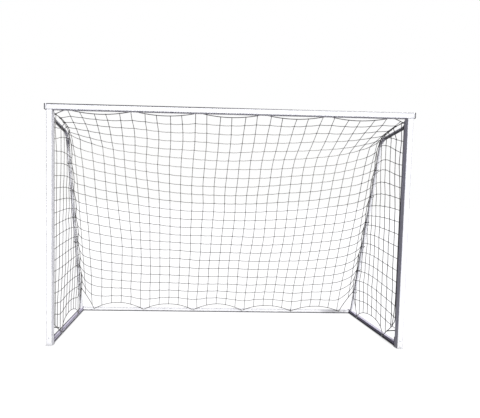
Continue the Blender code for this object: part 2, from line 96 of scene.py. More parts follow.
@dataclass(frozen=True)
class Goal:
    """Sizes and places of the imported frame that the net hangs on.

    Attributes:
        post_x: distance of the posts' axes from the middle.
        crossbar_top: height of the crossbar's top face.
        side_bar_outer: distance of the side bars' outer faces from the middle.
        rope_front: depth of the top rope at the crossbar's hooks.
        rope_rear: depth of the bottom rope at the rear bar's hooks.
        rope_z_top: height of the top rope at its hooks.
        rope_z_bottom: height of the bottom rope at its hooks.
        strut_front: depth and height of the front ends of the struts' axes.
        elbow: depth and height where the struts' axes meet those of the uprights.
        foot: depth and height of the lower ends of the uprights' axes.
        stay_radius: radius of struts and uprights.
        hook_xs: places of the hooks along the crossbar and the rear bar.
        side_hook_ys: depths of the hooks on the side bars.
    """

    post_x: float = 1.525
    crossbar_top: float = 2.05
    side_bar_outer: float = 1.5425
    rope_front: float = -0.4469
    rope_rear: float = 0.4619
    rope_z_top: float = 2.0125
    rope_z_bottom: float = 0.021
    strut_front: Pair = (-0.45, 1.945)
    elbow: Pair = (-0.048, 1.884)
    foot: Pair = (0.443, 0.035)
    stay_radius: float = 0.016
    hook_xs: tuple[float, ...] = (-1.39, -0.834, -0.278, 0.278, 0.834, 1.39)
    side_hook_ys: Pair = (-0.25, 0.26)

    def upright_y(self, z: Array | float) -> Array | float:
        """Depth of an upright's axis at a height: a straight line from the elbow to the foot."""
        share = (self.elbow[1] - z) / (self.elbow[1] - self.foot[1])
        return self.elbow[0] + (self.foot[0] - self.elbow[0]) * share

    def strut_z(self, y: float) -> float:
        """Height of a strut's axis at a depth: a straight line from the post to the elbow."""
        share = (y - self.strut_front[0]) / (self.elbow[0] - self.strut_front[0])
        return self.strut_front[1] + (self.elbow[1] - self.strut_front[1]) * share


GOAL = Goal()


def unit(vectors: Array) -> Array:
    """Vectors divided by their lengths."""
    return vectors / np.linalg.norm(vectors, axis=-1, keepdims=True)


def way(start: Pair, end: Pair) -> Array:
    """Direction between two places of a stay."""
    return unit(np.array([0.0, end[0] - start[0], end[1] - start[1]]))


def mix(first: Array | float, second: Array | float, share: Array | float) -> Array:
    """Straight blend of two arrays of points or of two numbers."""
    return first + (second - first) * share


def between(low: Array | float, high: Array | float, value: Array) -> Array:
    """Share of the way from one value to another, held to 0 to 1."""
    return np.clip((value - low) / (high - low), 0, 1)


def smooth(low: float, high: float, value: Array) -> Array:
    """Smooth step from 0 to 1 between two values: 3t^2 - 2t^3."""
    share = between(low, high, value)
    return share * share * (3 - 2 * share)


def hump(share: Array) -> Array:
    """Parabola that is 0 at the shares 0 and 1, and 1 midway."""
    return 4 * share * (1 - share)


def bow(share: Array | float) -> Array:
    """Half a sine wave that is 0 at the shares 0 and 1, and 1 midway."""
    return np.sin(np.pi * share)


def stack(*parts: Array | float) -> Array:
    """Parts side by side on a new last axis."""
    return np.stack(np.broadcast_arrays(*parts), axis=-1)


def arch(positions: Array, holds: Array) -> Array:
    """Parabolas that are 0 at each hold and 1 midway between two, and 0 beyond the outer ones."""
    index = np.clip(np.searchsorted(holds, positions) - 1, 0, len(holds) - 2)
    return hump(between(holds[index], holds[index + 1], positions))


def refine(points: Array, steps: int, roundness: float) -> Array:
    """Points added between knots along the second last axis.

    Each stretch is a blend of the straight line and a smooth cubic curve that takes its slope at each
    knot from the two neighbours, so that a cord keeps a slight kink at a knot.

    Args:
        points: knots, with the cord's direction on the second last axis.
        steps: stretches that one stretch is divided into.
        roundness: 0 for straight stretches, 1 for the full curve.

    Returns:
        The finer line, with the knots kept.
    """
    head = 2 * points[..., :1, :] - points[..., 1:2, :]
    tail = 2 * points[..., -1:, :] - points[..., -2:-1, :]
    line = np.concatenate([head, points, tail], axis=-2)[..., None, :]
    stretches = points.shape[-2] - 1
    a, b, c, d = (line[..., first:first + stretches, :, :] for first in range(4))
    share = (np.arange(steps) / steps)[:, None]
    curve = b + 0.5 * (
        (c - a) * share + (2 * a - 5 * b + 4 * c - d) * share**2 + (3 * b - 3 * c + d - a) * share**3
    )
    blended = mix(mix(b, c, share), curve, roundness)
    return np.concatenate([blended.reshape(*blended.shape[:-3], -1, 3), points[..., -1:, :]], axis=-2)


def link(name: str, data: bpy.types.ID) -> bpy.types.Object:
    """Puts a new object in the scene.

    Args:
        name: its name.
        data: its mesh, lamp or camera.

    Returns:
        The object.
    """
    made = bpy.data.objects.new(name, data)
    bpy.context.scene.collection.objects.link(made)
    return made


@dataclass
class Skin:
    """Vertices, faces and UVs of one new piece, gathered block by block."""

    points: list[Array] = field(default_factory=list)
    faces: list[Array] = field(default_factory=list)
    uvs: list[Array] = field(default_factory=list)
    count: int = 0

    def add(self, points: Array, *blocks: tuple[Array, Array]) -> None:
        """Adds vertices and the faces on them.

        Args:
            points: (n, 3) vertices.
            blocks: (m, k) indices into them, k corners a face, each with the texture places of the
                corners, which are repeated where they are fewer.
        """
        for faces, uvs in blocks:
            self.faces.append(faces + self.count)
            self.uvs.append(np.broadcast_to(uvs, (*faces.shape, 2)))
        self.points.append(points)
        self.count += len(points)

    def tubes(self, paths: Array, radius: float, sides: int, reference: Array) -> None:
        """Round closed tubes along paths.

        A ring at each point is the point plus radius times (cos a * N + sin a * B), with T the path's
        direction, N the reference made square to T, and B = T x N.

        Args:
            paths: (n, m, 3) centre lines, or one of (m, 3).
            radius: half the thickness.
            sides: corners of a ring.
            reference: a direction that no path runs along.
        """
        paths = paths.reshape(-1, *paths.shape[-2:])
        number, length, _ = paths.shape
        tangent = unit(np.gradient(paths, axis=1))
        normal = unit(reference - (tangent @ reference)[..., None] * tangent)
        other = np.cross(tangent, normal)
        here = np.arange(sides)
        after = np.roll(here, -1)
        angle = (TAU * here / sides)[:, None]
        around = np.cos(angle) * normal[:, :, None] + np.sin(angle) * other[:, :, None]
        rings = paths[:, :, None] + radius * around
        starts = np.arange(number)[:, None] * length * sides
        base = starts[..., None] + np.arange(length - 1)[:, None] * sides
        quads = stack(base + here, base + after, base + sides + after, base + sides + here)
        run = np.cumsum(np.linalg.norm(np.diff(paths, axis=1), axis=-1), axis=1)
        run = np.pad(run, ((0, 0), (1, 0)))[..., None]
        low, high = run[:, :-1], run[:, 1:]
        uvs = stack(stack(low, low, high, high), stack(here, here + 1, here + 1, here) / sides)
        lids = np.concatenate([starts + here[::-1], starts + (length - 1) * sides + here])
        self.add(rings.reshape(-1, 3), (quads.reshape(-1, 4), uvs.reshape(-1, 4, 2)), (lids, np.zeros(2)))

    def knots(self, places: Array, across: Array, along: Array, size: Triple) -> None:
        """Small knots: ellipsoids with two swellings where one cord turns round the other.

        A point is the place plus the three half sizes times (cos a sin p, sin a sin p, cos p), and the
        half sizes swell by 1 + s cos 2a sin^2 p, with s the swelling.

        Args:
            places: (n, 3) middles.
            across: directions of the first cord, or one for all.
            along: directions of the second cord, or one for all.
            size: half sizes along the first cord, along the second and off the net.
        """
        segments, rings = KNOT_SEGMENTS, KNOT_RINGS
        off = unit(np.cross(*np.broadcast_arrays(across, along, places)[:2]))
        first = unit(np.broadcast_to(across, places.shape))
        axes = np.stack([first, np.cross(off, first), off], axis=1)
        turn = TAU * np.arange(segments) / segments
        tilt = (math.pi * np.arange(1, rings + 1) / (rings + 1))[:, None]
        ball = stack(np.cos(turn) * np.sin(tilt), np.sin(turn) * np.sin(tilt), np.cos(tilt))
        swollen = 1 + KNOT_SWELLING * np.cos(2 * turn) * np.sin(tilt) ** 2
        local = (ball * swollen[..., None] * size).reshape(-1, 3)
        local = np.concatenate([local, [[0, 0, size[2]], [0, 0, -size[2]]]])
        points = places[:, None] + local @ axes
        here = np.arange(segments)
        after = np.roll(here, -1)
        base = np.arange(rings - 1)[:, None] * segments
        upper = base + segments
        quads = stack(base + here, upper + here, upper + after, base + after).reshape(-1, 4)
        top = segments * rings
        last = top - segments
        tips = np.concatenate([stack(top, here, after), stack(top + 1, last + after, last + here)])
        shift = (np.arange(len(places)) * len(local))[:, None, None]
        uvs = np.array([[0, 0], [0.004, 0], [0.004, 0.3], [0, 0.3]])
        self.add(points.reshape(-1, 3), ((quads + shift).reshape(-1, 4), uvs),
                 ((tips + shift).reshape(-1, 3), np.zeros(2)))

    def piece(self, name: str, slot: Slot, material: Material, *replaced: str) -> None:
        """Makes the object, gives it its finish, and lets it ride on the frame.

        Args:
            name: the piece's name.
            slot: the record's slot of its finish; not used.
            material: the finish.
            replaced: CAD nodes that it stands for.
        """
        loops = np.concatenate([block.reshape(-1) for block in self.faces])
        uvs = np.concatenate([block.reshape(-1) for block in self.uvs])
        sizes = np.concatenate([np.full(len(block), block.shape[1]) for block in self.faces])
        mesh = bpy.data.meshes.new(name)
        mesh.vertices.add(self.count)
        mesh.vertices.foreach_set("co", np.concatenate(self.points).astype(np.float32).reshape(-1))
        mesh.loops.add(len(loops))
        mesh.loops.foreach_set("vertex_index", loops.astype(np.int32))
        mesh.polygons.add(len(sizes))
        mesh.polygons.foreach_set("loop_start", (np.cumsum(sizes) - sizes).astype(np.int32))
        mesh.polygons.foreach_set("use_smooth", np.ones(len(sizes), bool))
        mesh.uv_layers.new(name=UV_NAME).data.foreach_set("uv", uvs.astype(np.float32))
        mesh.update(calc_edges=True)
        mesh.validate()
        mesh.materials.append(material)
        made = link(name, mesh)
        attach(made, "root")
        if replaced:
            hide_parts(*replaced)
        LOG.info("%s: %d faces", name, len(sizes))


@dataclass(frozen=True)
class Grain:
    """A noise texture, and the range of its height that is carried on.

    Attributes:
        scale: scale of the noise.
        detail: octaves of it.
        roughness: how strong the finer octaves are.
        low: height that becomes 0.
        high: height that becomes 1.
    """

    scale: Any
    detail: float = 3.0
    roughness: float = 0.5
    low: float = 0.3
    high: float = 0.7


class Graph:
    """A node tree that is being filled. Colours are given without their alpha."""

    def __init__(self, tree: Tree) -> None:
        """Keeps the tree."""
        self.tree = tree

    def add(self, kind: str, inputs: dict[Any, Any] | None = None, **settings: Any) -> Node:
        """Adds a node.

        Args:
            kind: the node's type, without the leading ShaderNode.
            inputs: values or sockets for its inputs, by name or index.
            settings: its own properties.

        Returns:
            The node.
        """
        prefix = "" if kind.startswith("Node") else "ShaderNode"
        node = self.tree.nodes.new(prefix + kind)
        for key, value in settings.items():
            setattr(node, key, value)
        self.fill(node, inputs or {})
        return node

    def fill(self, node: Node, inputs: dict[Any, Any]) -> None:
        """Links a node's inputs to sockets, or gives them plain values.

        Args:
            node: the node.
            inputs: values or sockets, by name or index.
        """
        for key, value in inputs.items():
            socket = node.inputs[key]
            if isinstance(value, bpy.types.NodeSocket):
                self.tree.links.new(value, socket)
            else:
                socket.default_value = (*value, 1) if socket.type == "RGBA" else value

    def use(self, tree: Tree, inputs: dict[str, Any]) -> Any:
        """Returns the outputs of a group that is placed with its own values."""
        return self.add("Group", inputs, node_tree=tree).outputs

    def math(self, operation: str, first: Any, second: Any = 0.0, clamp: bool = False) -> Any:
        """Returns the output of a Math node."""
        return self.add("Math", {0: first, 1: second}, operation=operation, use_clamp=clamp).outputs[0]

    def times(self, first: Any, second: Any) -> Any:
        """Returns a product."""
        return self.math("MULTIPLY", first, second)

    def blend(self, share: Any, first: Any, second: Any) -> Any:
        """Returns a mix of two colours."""
        return self.add("Mix", {0: share, 6: first, 7: second}, data_type="RGBA").outputs[2]

    def ramp(self, value: Any, low: float, high: float, bottom: float = 0.0, top: float = 1.0) -> Any:
        """Returns a value carried from one range to another and held there."""
        inputs = {"Value": value, "From Min": low, "From Max": high, "To Min": bottom, "To Max": top}
        return self.add("MapRange", inputs).outputs[0]

    def past(self, value: Any, edge: float, top: float = 1.0) -> Any:
        """Returns 0 below an edge and the top value beyond it, with 1 mm of passage to each side."""
        return self.ramp(value, edge - 0.001, edge + 0.001, 0.0, top)

    def noise(self, place: Any, scale: Any, detail: float, roughness: float = 0.5) -> Any:
        """Returns the height of a noise texture."""
        inputs = {"Vector": place, "Scale": scale, "Detail": detail, "Roughness": roughness}
        return self.add("TexNoise", inputs).outputs[0]

    def patches(self, place: Any, grain: Grain, bottom: float = 0.0, top: float = 1.0) -> Any:
        """Returns the height of a grain, carried from its range to another."""
        height = self.noise(place, grain.scale, grain.detail, grain.roughness)
        return self.ramp(height, grain.low, grain.high, bottom, top)

    def place(self) -> Any:
        """Returns the Object coordinates."""
        return self.add("TexCoord").outputs["Object"]

    def part(self, vector: Any, axis: int) -> Any:
        """Returns X, Y or Z of a vector."""
        return self.add("SeparateXYZ", {0: vector}).outputs[axis]

    def stretch(self, place: Any, *scales: float) -> Any:
        """Returns coordinates scaled along each axis."""
        return self.add("Mapping", {0: place, 3: scales}).outputs[0]

    def bevel(self, radius: Any) -> Any:
        """Returns the normal, rounded over a radius at edges."""
        return self.add("Bevel", {"Radius": radius}, samples=6).outputs[0]

    def bump(self, height: Any, strength: float, distance: float, **more: Any) -> Any:
        """Returns the normal, tilted by a height."""
        inputs = {"Height": height, "Strength": strength, "Distance": distance, **more}
        return self.add("Bump", inputs).outputs[0]


COLOUR, NUMBER = "NodeSocketColor", "NodeSocketFloat"


def group(name: str, inputs: dict[str, Any], outputs: dict[str, str]) -> tuple[Any, Graph, Any, Any]:
    """Starts a shader node group.

    Args:
        name: its name.
        inputs: name and default of each input, a number or a colour.
        outputs: name and socket type of each output.

    Returns:
        The group, its graph, the sockets that it is given and its output node.
    """
    tree = bpy.data.node_groups.new(name, "ShaderNodeTree")
    for label, default in inputs.items():
        coloured = isinstance(default, tuple)
        kind = COLOUR if coloured else NUMBER
        socket = tree.interface.new_socket(label, in_out="INPUT", socket_type=kind)
        socket.default_value = (*default, 1) if coloured else default
    for label, kind in outputs.items():
        tree.interface.new_socket(label, in_out="OUTPUT", socket_type=kind)
    graph = Graph(tree)
    return tree, graph, graph.add("NodeGroupInput").outputs, graph.add("NodeGroupOutput")


def soiling_group() -> Tree:
    """Dust and rain streaks that thicken towards the ground, and faint cloudiness higher up.

    The mask is a noise of object coordinates, stretched upwards, times the share of the way down.

    Returns:
        The group.
    """
    tree, g, given, sink = group(
        "soiling", {"Colour": (0.8, 0.8, 0.8), "Soil": (0.5, 0.48, 0.42), "Reach": 0.25, "Amount": 0.3},
        {"Colour": COLOUR, "Mask": NUMBER},
    )
    place = g.place()
    low = g.math("SUBTRACT", 1.0, g.math("DIVIDE", g.part(place, 2), given["Reach"]), clamp=True)
    streaks = g.patches(g.stretch(place, 14.0, 14.0, 2.5), Grain(1.0, 5.0, 0.6, 0.42, 0.7))
    specks = g.patches(place, Grain(55.0, 4.0, 0.7, 0.52, 0.72))
    near_ground = g.times(g.math("POWER", low, 2.0), g.math("ADD", g.times(specks, 0.6), 0.5))
    mask = g.math("ADD", near_ground, g.times(streaks, 0.10), clamp=True)
    mask = g.times(mask, given["Amount"])
    g.fill(sink, {"Colour": g.blend(mask, given["Colour"], given["Soil"]), "Mask": mask})
    return tree


def edge_group() -> Tree:
    """How close a surface is to an outer edge, for a square tube or plate that lies along the axes.

    The normal is rounded over the radius. Its largest part is 1 on a flat and falls towards an edge.
    "Mask" is 1 minus that part, carried to 0 to 1 and broken up by noise, for chips; the other output, more
    lightly broken by noise, is painted shade along the edges.

    Returns:
        The group.
    """
    tree, g, given, sink = group(
        "edge_nearness", {"Radius": 0.004, "Break up": 60.0}, {"Mask": NUMBER, "Rim": NUMBER},
    )
    facing = g.add("VectorMath", {0: g.bevel(given["Radius"])}, operation="ABSOLUTE").outputs[0]
    x, y, z = (g.part(facing, axis) for axis in range(3))
    largest = g.math("MAXIMUM", g.math("MAXIMUM", x, y), z)
    near = g.ramp(g.math("SUBTRACT", 1.0, largest), 0.005, 0.085)
    broken = g.patches(g.place(), Grain(given["Break up"], 6.0, low=0.50, high=0.66))
    shade_breakup = g.patches(g.place(), Grain(7.0, 4.0, 0.6), 0.65, 1.0)
    g.fill(sink, {"Mask": g.times(near, broken), "Rim": g.times(near, shade_breakup)})
    return tree


def lay_group() -> Tree:
    """Strands of a twisted cord from its UV: rounded ridges that wind round it.

    Height is |sin(pi (u / pitch + strands v))|, with u the run in metres and v the share round it.

    Returns:
        The group.
    """
    tree, g, given, sink = group(
        "twisted_lay", {"Pitch": 0.014, "Strands": 3.0}, {"Height": NUMBER, "Groove": NUMBER},
    )
    uv = g.add("UVMap", uv_map=UV_NAME).outputs[0]
    run = g.math("DIVIDE", g.part(uv, 0), given["Pitch"])
    turn = g.times(g.part(uv, 1), given["Strands"])
    wave = g.math("ABSOLUTE", g.math("SINE", g.times(g.math("ADD", run, turn), math.pi)))
    g.fill(sink, {"Height": wave, "Groove": g.ramp(wave, 0.0, 0.45, 1.0, 0.0)})
    return tree


class Groups:
    """The shared node groups, each built once."""

    def __init__(self) -> None:
        """Builds them."""
        self.soiling = soiling_group()
        self.edge = edge_group()
        self.lay = lay_group()


def start_material(name: str) -> tuple[Material, Graph, Node]:
    """Starts a material.

    Args:
        name: its name.

    Returns:
        The material, its graph and its Principled shader.
    """
    material = bpy.data.materials.new(name)
    material.use_nodes = True
    return material, Graph(material.node_tree), material.node_tree.nodes["Principled BSDF"]


def tint(colour: Triple, factor: float) -> Triple:
    """A colour made darker by a factor."""
    return tuple(part * factor for part in colour)


@dataclass(frozen=True)
class PowderCoat:
    """White powder-coated steel: fine orange peel, faint soiling, chips along the edges, and painted shade.

    Painted shade darkens the rounded edges. Four more places of painted shade are left out where their size
    is 0: the underside, a contact shadow along the ground, a line along the crossbar's top edge, and one
    along a side bar's outer edge.

    Attributes:
        name: name of the material.
        colour: colour of the coat.
        primer: colour of the primer in the chips.
        rim: colour of the painted shade along the rounded edges.
        painted_shade: colour of those four places of painted shade.
        soil: colour of the soiling.
        edge_shade_share: how strong the painted shade along the rounded edges is.
        chip_share: how much of the primer shows in the chips.
        under_share: how dark the painted shade on the underside is. It follows the downward part of the
            normal.
        line: height of a painted contact shadow along the ground.
        top_edge_shade: height of a painted shade line along the crossbar's top edge, which is stronger on the
            left.
        outer: width of a painted shade line along a side bar's outer edge.
        rounding: radius over which the edges are rounded for the light.
        roughness: roughness of the coat, which varies a little round it.
        specular: level of the coat's reflection.
        peel: scale of the orange peel.
        soil_reach: height below which the soiling thickens towards the ground.
        soil_amount: how strong the soiling is.
    """

    name: str
    colour: Triple = (0.87, 0.875, 0.885)
    primer: Triple = (0.42, 0.42, 0.43)
    rim: Triple = (0.22, 0.215, 0.225)
    painted_shade: Triple = (0.025, 0.024, 0.03)
    soil: Triple = (0.46, 0.43, 0.37)
    edge_shade_share: float = 0.70
    chip_share: float = 0.35
    under_share: float = 0.0
    line: float = 0.0
    top_edge_shade: float = 0.0
    outer: float = 0.0
    rounding: float = 0.007
    roughness: float = 0.40
    specular: float = 0.22
    peel: float = 420.0
    soil_reach: float = 0.35
    soil_amount: float = 0.25

    def shade_marks(self, g: Graph, place: Any, rounded: Any) -> Iterator[Any]:
        """Places of painted shade on this coat, besides the rounded edges.

        Args:
            g: the material's graph.
            place: the Object coordinates.
            rounded: the normal, rounded at edges.

        Yields:
            The strength of each mark.
        """
        along, height = g.part(place, 0), g.part(place, 2)
        if self.under_share > 0:
            yield g.ramp(g.part(rounded, 2), 0.1, -0.7, 0.0, self.under_share)
        if self.line > 0:
            yield g.ramp(height, 1.25 * self.line, 0.7 * self.line, 0.0, 0.92)
        if self.top_edge_shade > 0:
            top = g.ramp(height, GOAL.crossbar_top - 1.1 * self.top_edge_shade, GOAL.crossbar_top - 0.9 * self.top_edge_shade)
            yield g.times(top, g.ramp(along, -0.2, 0.9, 0.95, 0.45))
        if self.outer > 0:
            yield g.past(g.math("ABSOLUTE", along), GOAL.side_bar_outer - self.outer, 0.85)

    def build(self, groups: Groups) -> Material:
        """Builds the material.

        Args:
            groups: the shared node groups.

        Returns:
            The material.
        """
        material, g, shader = start_material(self.name)
        place, rounded = g.place(), g.bevel(self.rounding)
        warm = (*tint(self.colour, 0.97)[:2], self.colour[2])
        soiled = g.use(groups.soiling, {
            "Colour": g.blend(g.patches(place, Grain(2.3, 4.0, 0.55, 0.35)), self.colour, warm),
            "Soil": self.soil, "Reach": self.soil_reach, "Amount": self.soil_amount,
        })
        finish = soiled["Colour"]
        # Painted shade along the rounded edges, then chips that show the primer.
        if self.edge_shade_share > 0:
            edge_masks = g.use(groups.edge, {"Radius": self.rounding, "Break up": 48.0})
            finish = g.blend(g.times(edge_masks["Rim"], self.edge_shade_share), finish, self.rim)
            finish = g.blend(g.times(edge_masks["Mask"], self.chip_share), finish, self.primer)
        # Painted shade: each mask lays its dark colour over the coat.
        for share in self.shade_marks(g, place, rounded):
            finish = g.blend(share, finish, self.painted_shade)
        rough = g.patches(place, Grain(9.0, 5.0, 0.6), self.roughness - 0.05, self.roughness + 0.08)
        pores = g.noise(place, self.peel * 3.1, 1.0)
        height = g.math("ADD", g.noise(place, self.peel, 2.0), g.times(pores, 0.25))
        g.fill(shader, {
            "Base Color": finish, "Specular IOR Level": self.specular,
            "Roughness": g.math("ADD", rough, g.times(soiled["Mask"], 0.6), clamp=True),
            "Normal": g.bump(height, 0.12, 0.0004, Normal=rounded),
        })
        return material


@dataclass(frozen=True)
class MouldedPlastic:
    """White polyethylene caps: fine spark-eroded grain and a little soiling.

    Beyond a distance from the middle of the goal a cap is painted dark, as painted shade on its outer end.

    Attributes:
        name: name of the material.
        colour: colour of the caps.
        scuff: colour of the scuffed edges.
        dark: colour of the painted shade on the outer end.
        soil: colour of the soiling.
        dark_from: distance from the middle of the goal beyond which a cap has that painted shade.
        roughness: roughness of the caps, which varies a little round it.
    """

    name: str
    colour: Triple = (0.80, 0.81, 0.83)
    scuff: Triple = (0.6, 0.6, 0.6)
    dark: Triple = (0.05, 0.05, 0.055)
    soil: Triple = (0.42, 0.40, 0.35)
    dark_from: float = 9.0
    roughness: float = 0.52

    def build(self, groups: Groups) -> Material:
        """Builds the material.

        Args:
            groups: the shared node groups.

        Returns:
            The material.
        """
        material, g, shader = start_material(self.name)
        place = g.place()
        base = g.blend(g.patches(place, Grain(16.0)), self.colour, tint(self.colour, 0.95))
        soiled = g.use(groups.soiling, {"Colour": base, "Soil": self.soil, "Reach": 0.12, "Amount": 0.35})
        edge_masks = g.use(groups.edge, {"Radius": 0.003, "Break up": 90.0})
        scuffed = g.blend(g.times(edge_masks["Mask"], 0.3), soiled["Colour"], self.scuff)
        # Painted shade on the outer end of a cap.
        outer = g.past(g.math("ABSOLUTE", g.part(place, 0)), self.dark_from)
        g.fill(shader, {
            "Base Color": g.blend(outer, scuffed, self.dark),
            "Roughness": g.patches(place, Grain(70.0), self.roughness - 0.06, self.roughness + 0.08),
            "Normal": g.bump(g.noise(place, 1500.0, 2.0, 0.6), 0.15, 0.0003),
        })
        return material


@dataclass(frozen=True)
class ZincSteel:
    """Galvanised steel: spangle in the colour and the gloss, fine scratches, dulled edges.

    Attributes:
        name: name of the material.
        bright: colour of the brightest spangle.
        dull: colour of the dullest spangle.
        worn: colour of the worn edges.
    """

    name: str
    bright: Triple = (0.66, 0.67, 0.69)
    dull: Triple = (0.50, 0.51, 0.53)
    worn: Triple = (0.74, 0.74, 0.75)

    def build(self, groups: Groups) -> Material:
        """Builds the material.

        Args:
            groups: the shared node groups.

        Returns:
            The material.
        """
        material, g, shader = start_material(self.name)
        place = g.place()
        cells = g.add("TexVoronoi", {"Vector": place, "Scale": 420.0}).outputs["Color"]
        spangle = g.add("SeparateColor", {0: cells}).outputs[0]
        edge_masks = g.use(groups.edge, {"Radius": 0.0012, "Break up": 300.0})
        base = g.blend(spangle, self.bright, self.dull)
        scratches = g.noise(g.stretch(place, 900.0, 120.0, 120.0), 1.0, 2.0)
        g.fill(shader, {
            "Base Color": g.blend(g.times(edge_masks["Mask"], 0.5), base, self.worn),
            "Metallic": 1.0,
            "Roughness": g.ramp(spangle, 0.0, 1.0, 0.28, 0.46),
            "Normal": g.bump(scratches, 0.12, 0.0002),
        })
        return material


@dataclass(frozen=True)
class TwistedCord:
    """Weathered cord of twisted strands: lay from its UV, grime in the grooves and lower on the net.

    Attributes:
        name: name of the material.
        colour: colour of the cord, a grey that is painted shade on the white cord.
        groove: colour of the painted shade in the grooves between the strands.
        soil: colour of the soiling.
        pitch: distance from strand to strand along the cord.
        strands: how many strands are twisted.
        shade_heights: heights between which the cord is painted darker downwards, as painted shade that evens
            out the brighter light on the lower net.
    """

    name: str
    colour: Triple = (0.30, 0.29, 0.272)
    groove: Triple = (0.13, 0.125, 0.115)
    soil: Triple = (0.34, 0.32, 0.27)
    pitch: float = 0.014
    strands: float = 3.0
    shade_heights: Pair = (1.6, 1.1)

    def build(self, groups: Groups) -> Material:
        """Builds the material.

        Args:
            groups: the shared node groups.

        Returns:
            The material.
        """
        material, g, shader = start_material(self.name)
        place = g.place()
        lay = g.use(groups.lay, {"Pitch": self.pitch, "Strands": self.strands})
        patches = g.patches(place, Grain(5.0, 4.0, 0.6, high=0.75))
        base = g.blend(patches, self.colour, tint(self.colour, 0.86))
        # Painted shade: darker below the first height, and darker in the grooves.
        base = g.blend(g.ramp(g.part(place, 2), *self.shade_heights), base, tint(self.colour, 0.30))
        groove_shaded = g.blend(g.times(lay["Groove"], 0.6), base, self.groove)
        soiled = g.use(groups.soiling, {"Colour": groove_shaded, "Soil": self.soil, "Reach": 0.35, "Amount": 0.35})
        fibres = g.noise(g.stretch(place, 2600.0, 2600.0, 2600.0), 1.0, 2.0)
        ridges = g.math("ADD", lay["Height"], g.times(fibres, 0.2))
        g.fill(shader, {
            "Base Color": soiled["Colour"],
            "Roughness": g.ramp(patches, 0.0, 1.0, 0.72, 0.88),
            "Normal": g.bump(ridges, 0.7, 0.0007),
        })
        return material


@dataclass(frozen=True)
class Bulge:
    """A place where the hanging net swells or is drawn off its even form.

    Attributes:
        row: row of its middle.
        place: column of its middle, or on a side net the share of the way back.
        tall: how far it reaches over the rows.
        wide: how far it reaches along them.
        amount: the offset in its middle, in metres.
    """

    row: float
    place: float
    tall: float
    wide: float
    amount: float

    def at(self, row: Array | float, place: Array | float) -> Array:
        """Offset at rows and places: amount * exp(-((row - middle) / tall)^2 - the same along them)."""
        distance = ((row - self.row) / self.tall) ** 2 + ((place - self.place) / self.wide) ** 2
        return self.amount * np.exp(-distance)


def swell(bulges: tuple[Bulge, ...], row: Array | float, place: Array | float) -> Array:
    """Sum of bulges at rows and places along them."""
    return sum(bulge.at(row, place) for bulge in bulges)


SLID_ALONG_CROSSBAR = Bulge(0.0, 20.0, 3.4, 12.0, -0.059)
DRAWN_IN_LOW_LEFT = Bulge(16.0, 4.5, 5.0, 3.5, 0.038)
DRAWN_IN_HIGH_LEFT = Bulge(4.5, 3.5, 5.0, 2.5, 0.015)
LEANS_RIGHT = Bulge(14.0, 18.0, 6.5, 8.0, 0.017)
HELD_BY_RIGHT_SEAM = Bulge(8.0, 27.5, 14.0, 2.0, -0.012)
SIDEWAYS = (SLID_ALONG_CROSSBAR, DRAWN_IN_LOW_LEFT, DRAWN_IN_HIGH_LEFT, LEANS_RIGHT, HELD_BY_RIGHT_SEAM)

DROOPS_BY_LEFT_ELBOW = Bulge(4.8, 3.5, 1.9, 4.5, -0.038)
DROOPS_BY_RIGHT_ELBOW = Bulge(5.3, 26.0, 2.4, 4.0, -0.046)
RIDES_UP = Bulge(14.0, 15.0, 7.0, 16.0, 0.023)
RIDES_UP_LEFT = Bulge(14.0, 5.0, 6.0, 4.0, 0.017)
UPWARDS = (DROOPS_BY_LEFT_ELBOW, DROOPS_BY_RIGHT_ELBOW, RIDES_UP, RIDES_UP_LEFT)


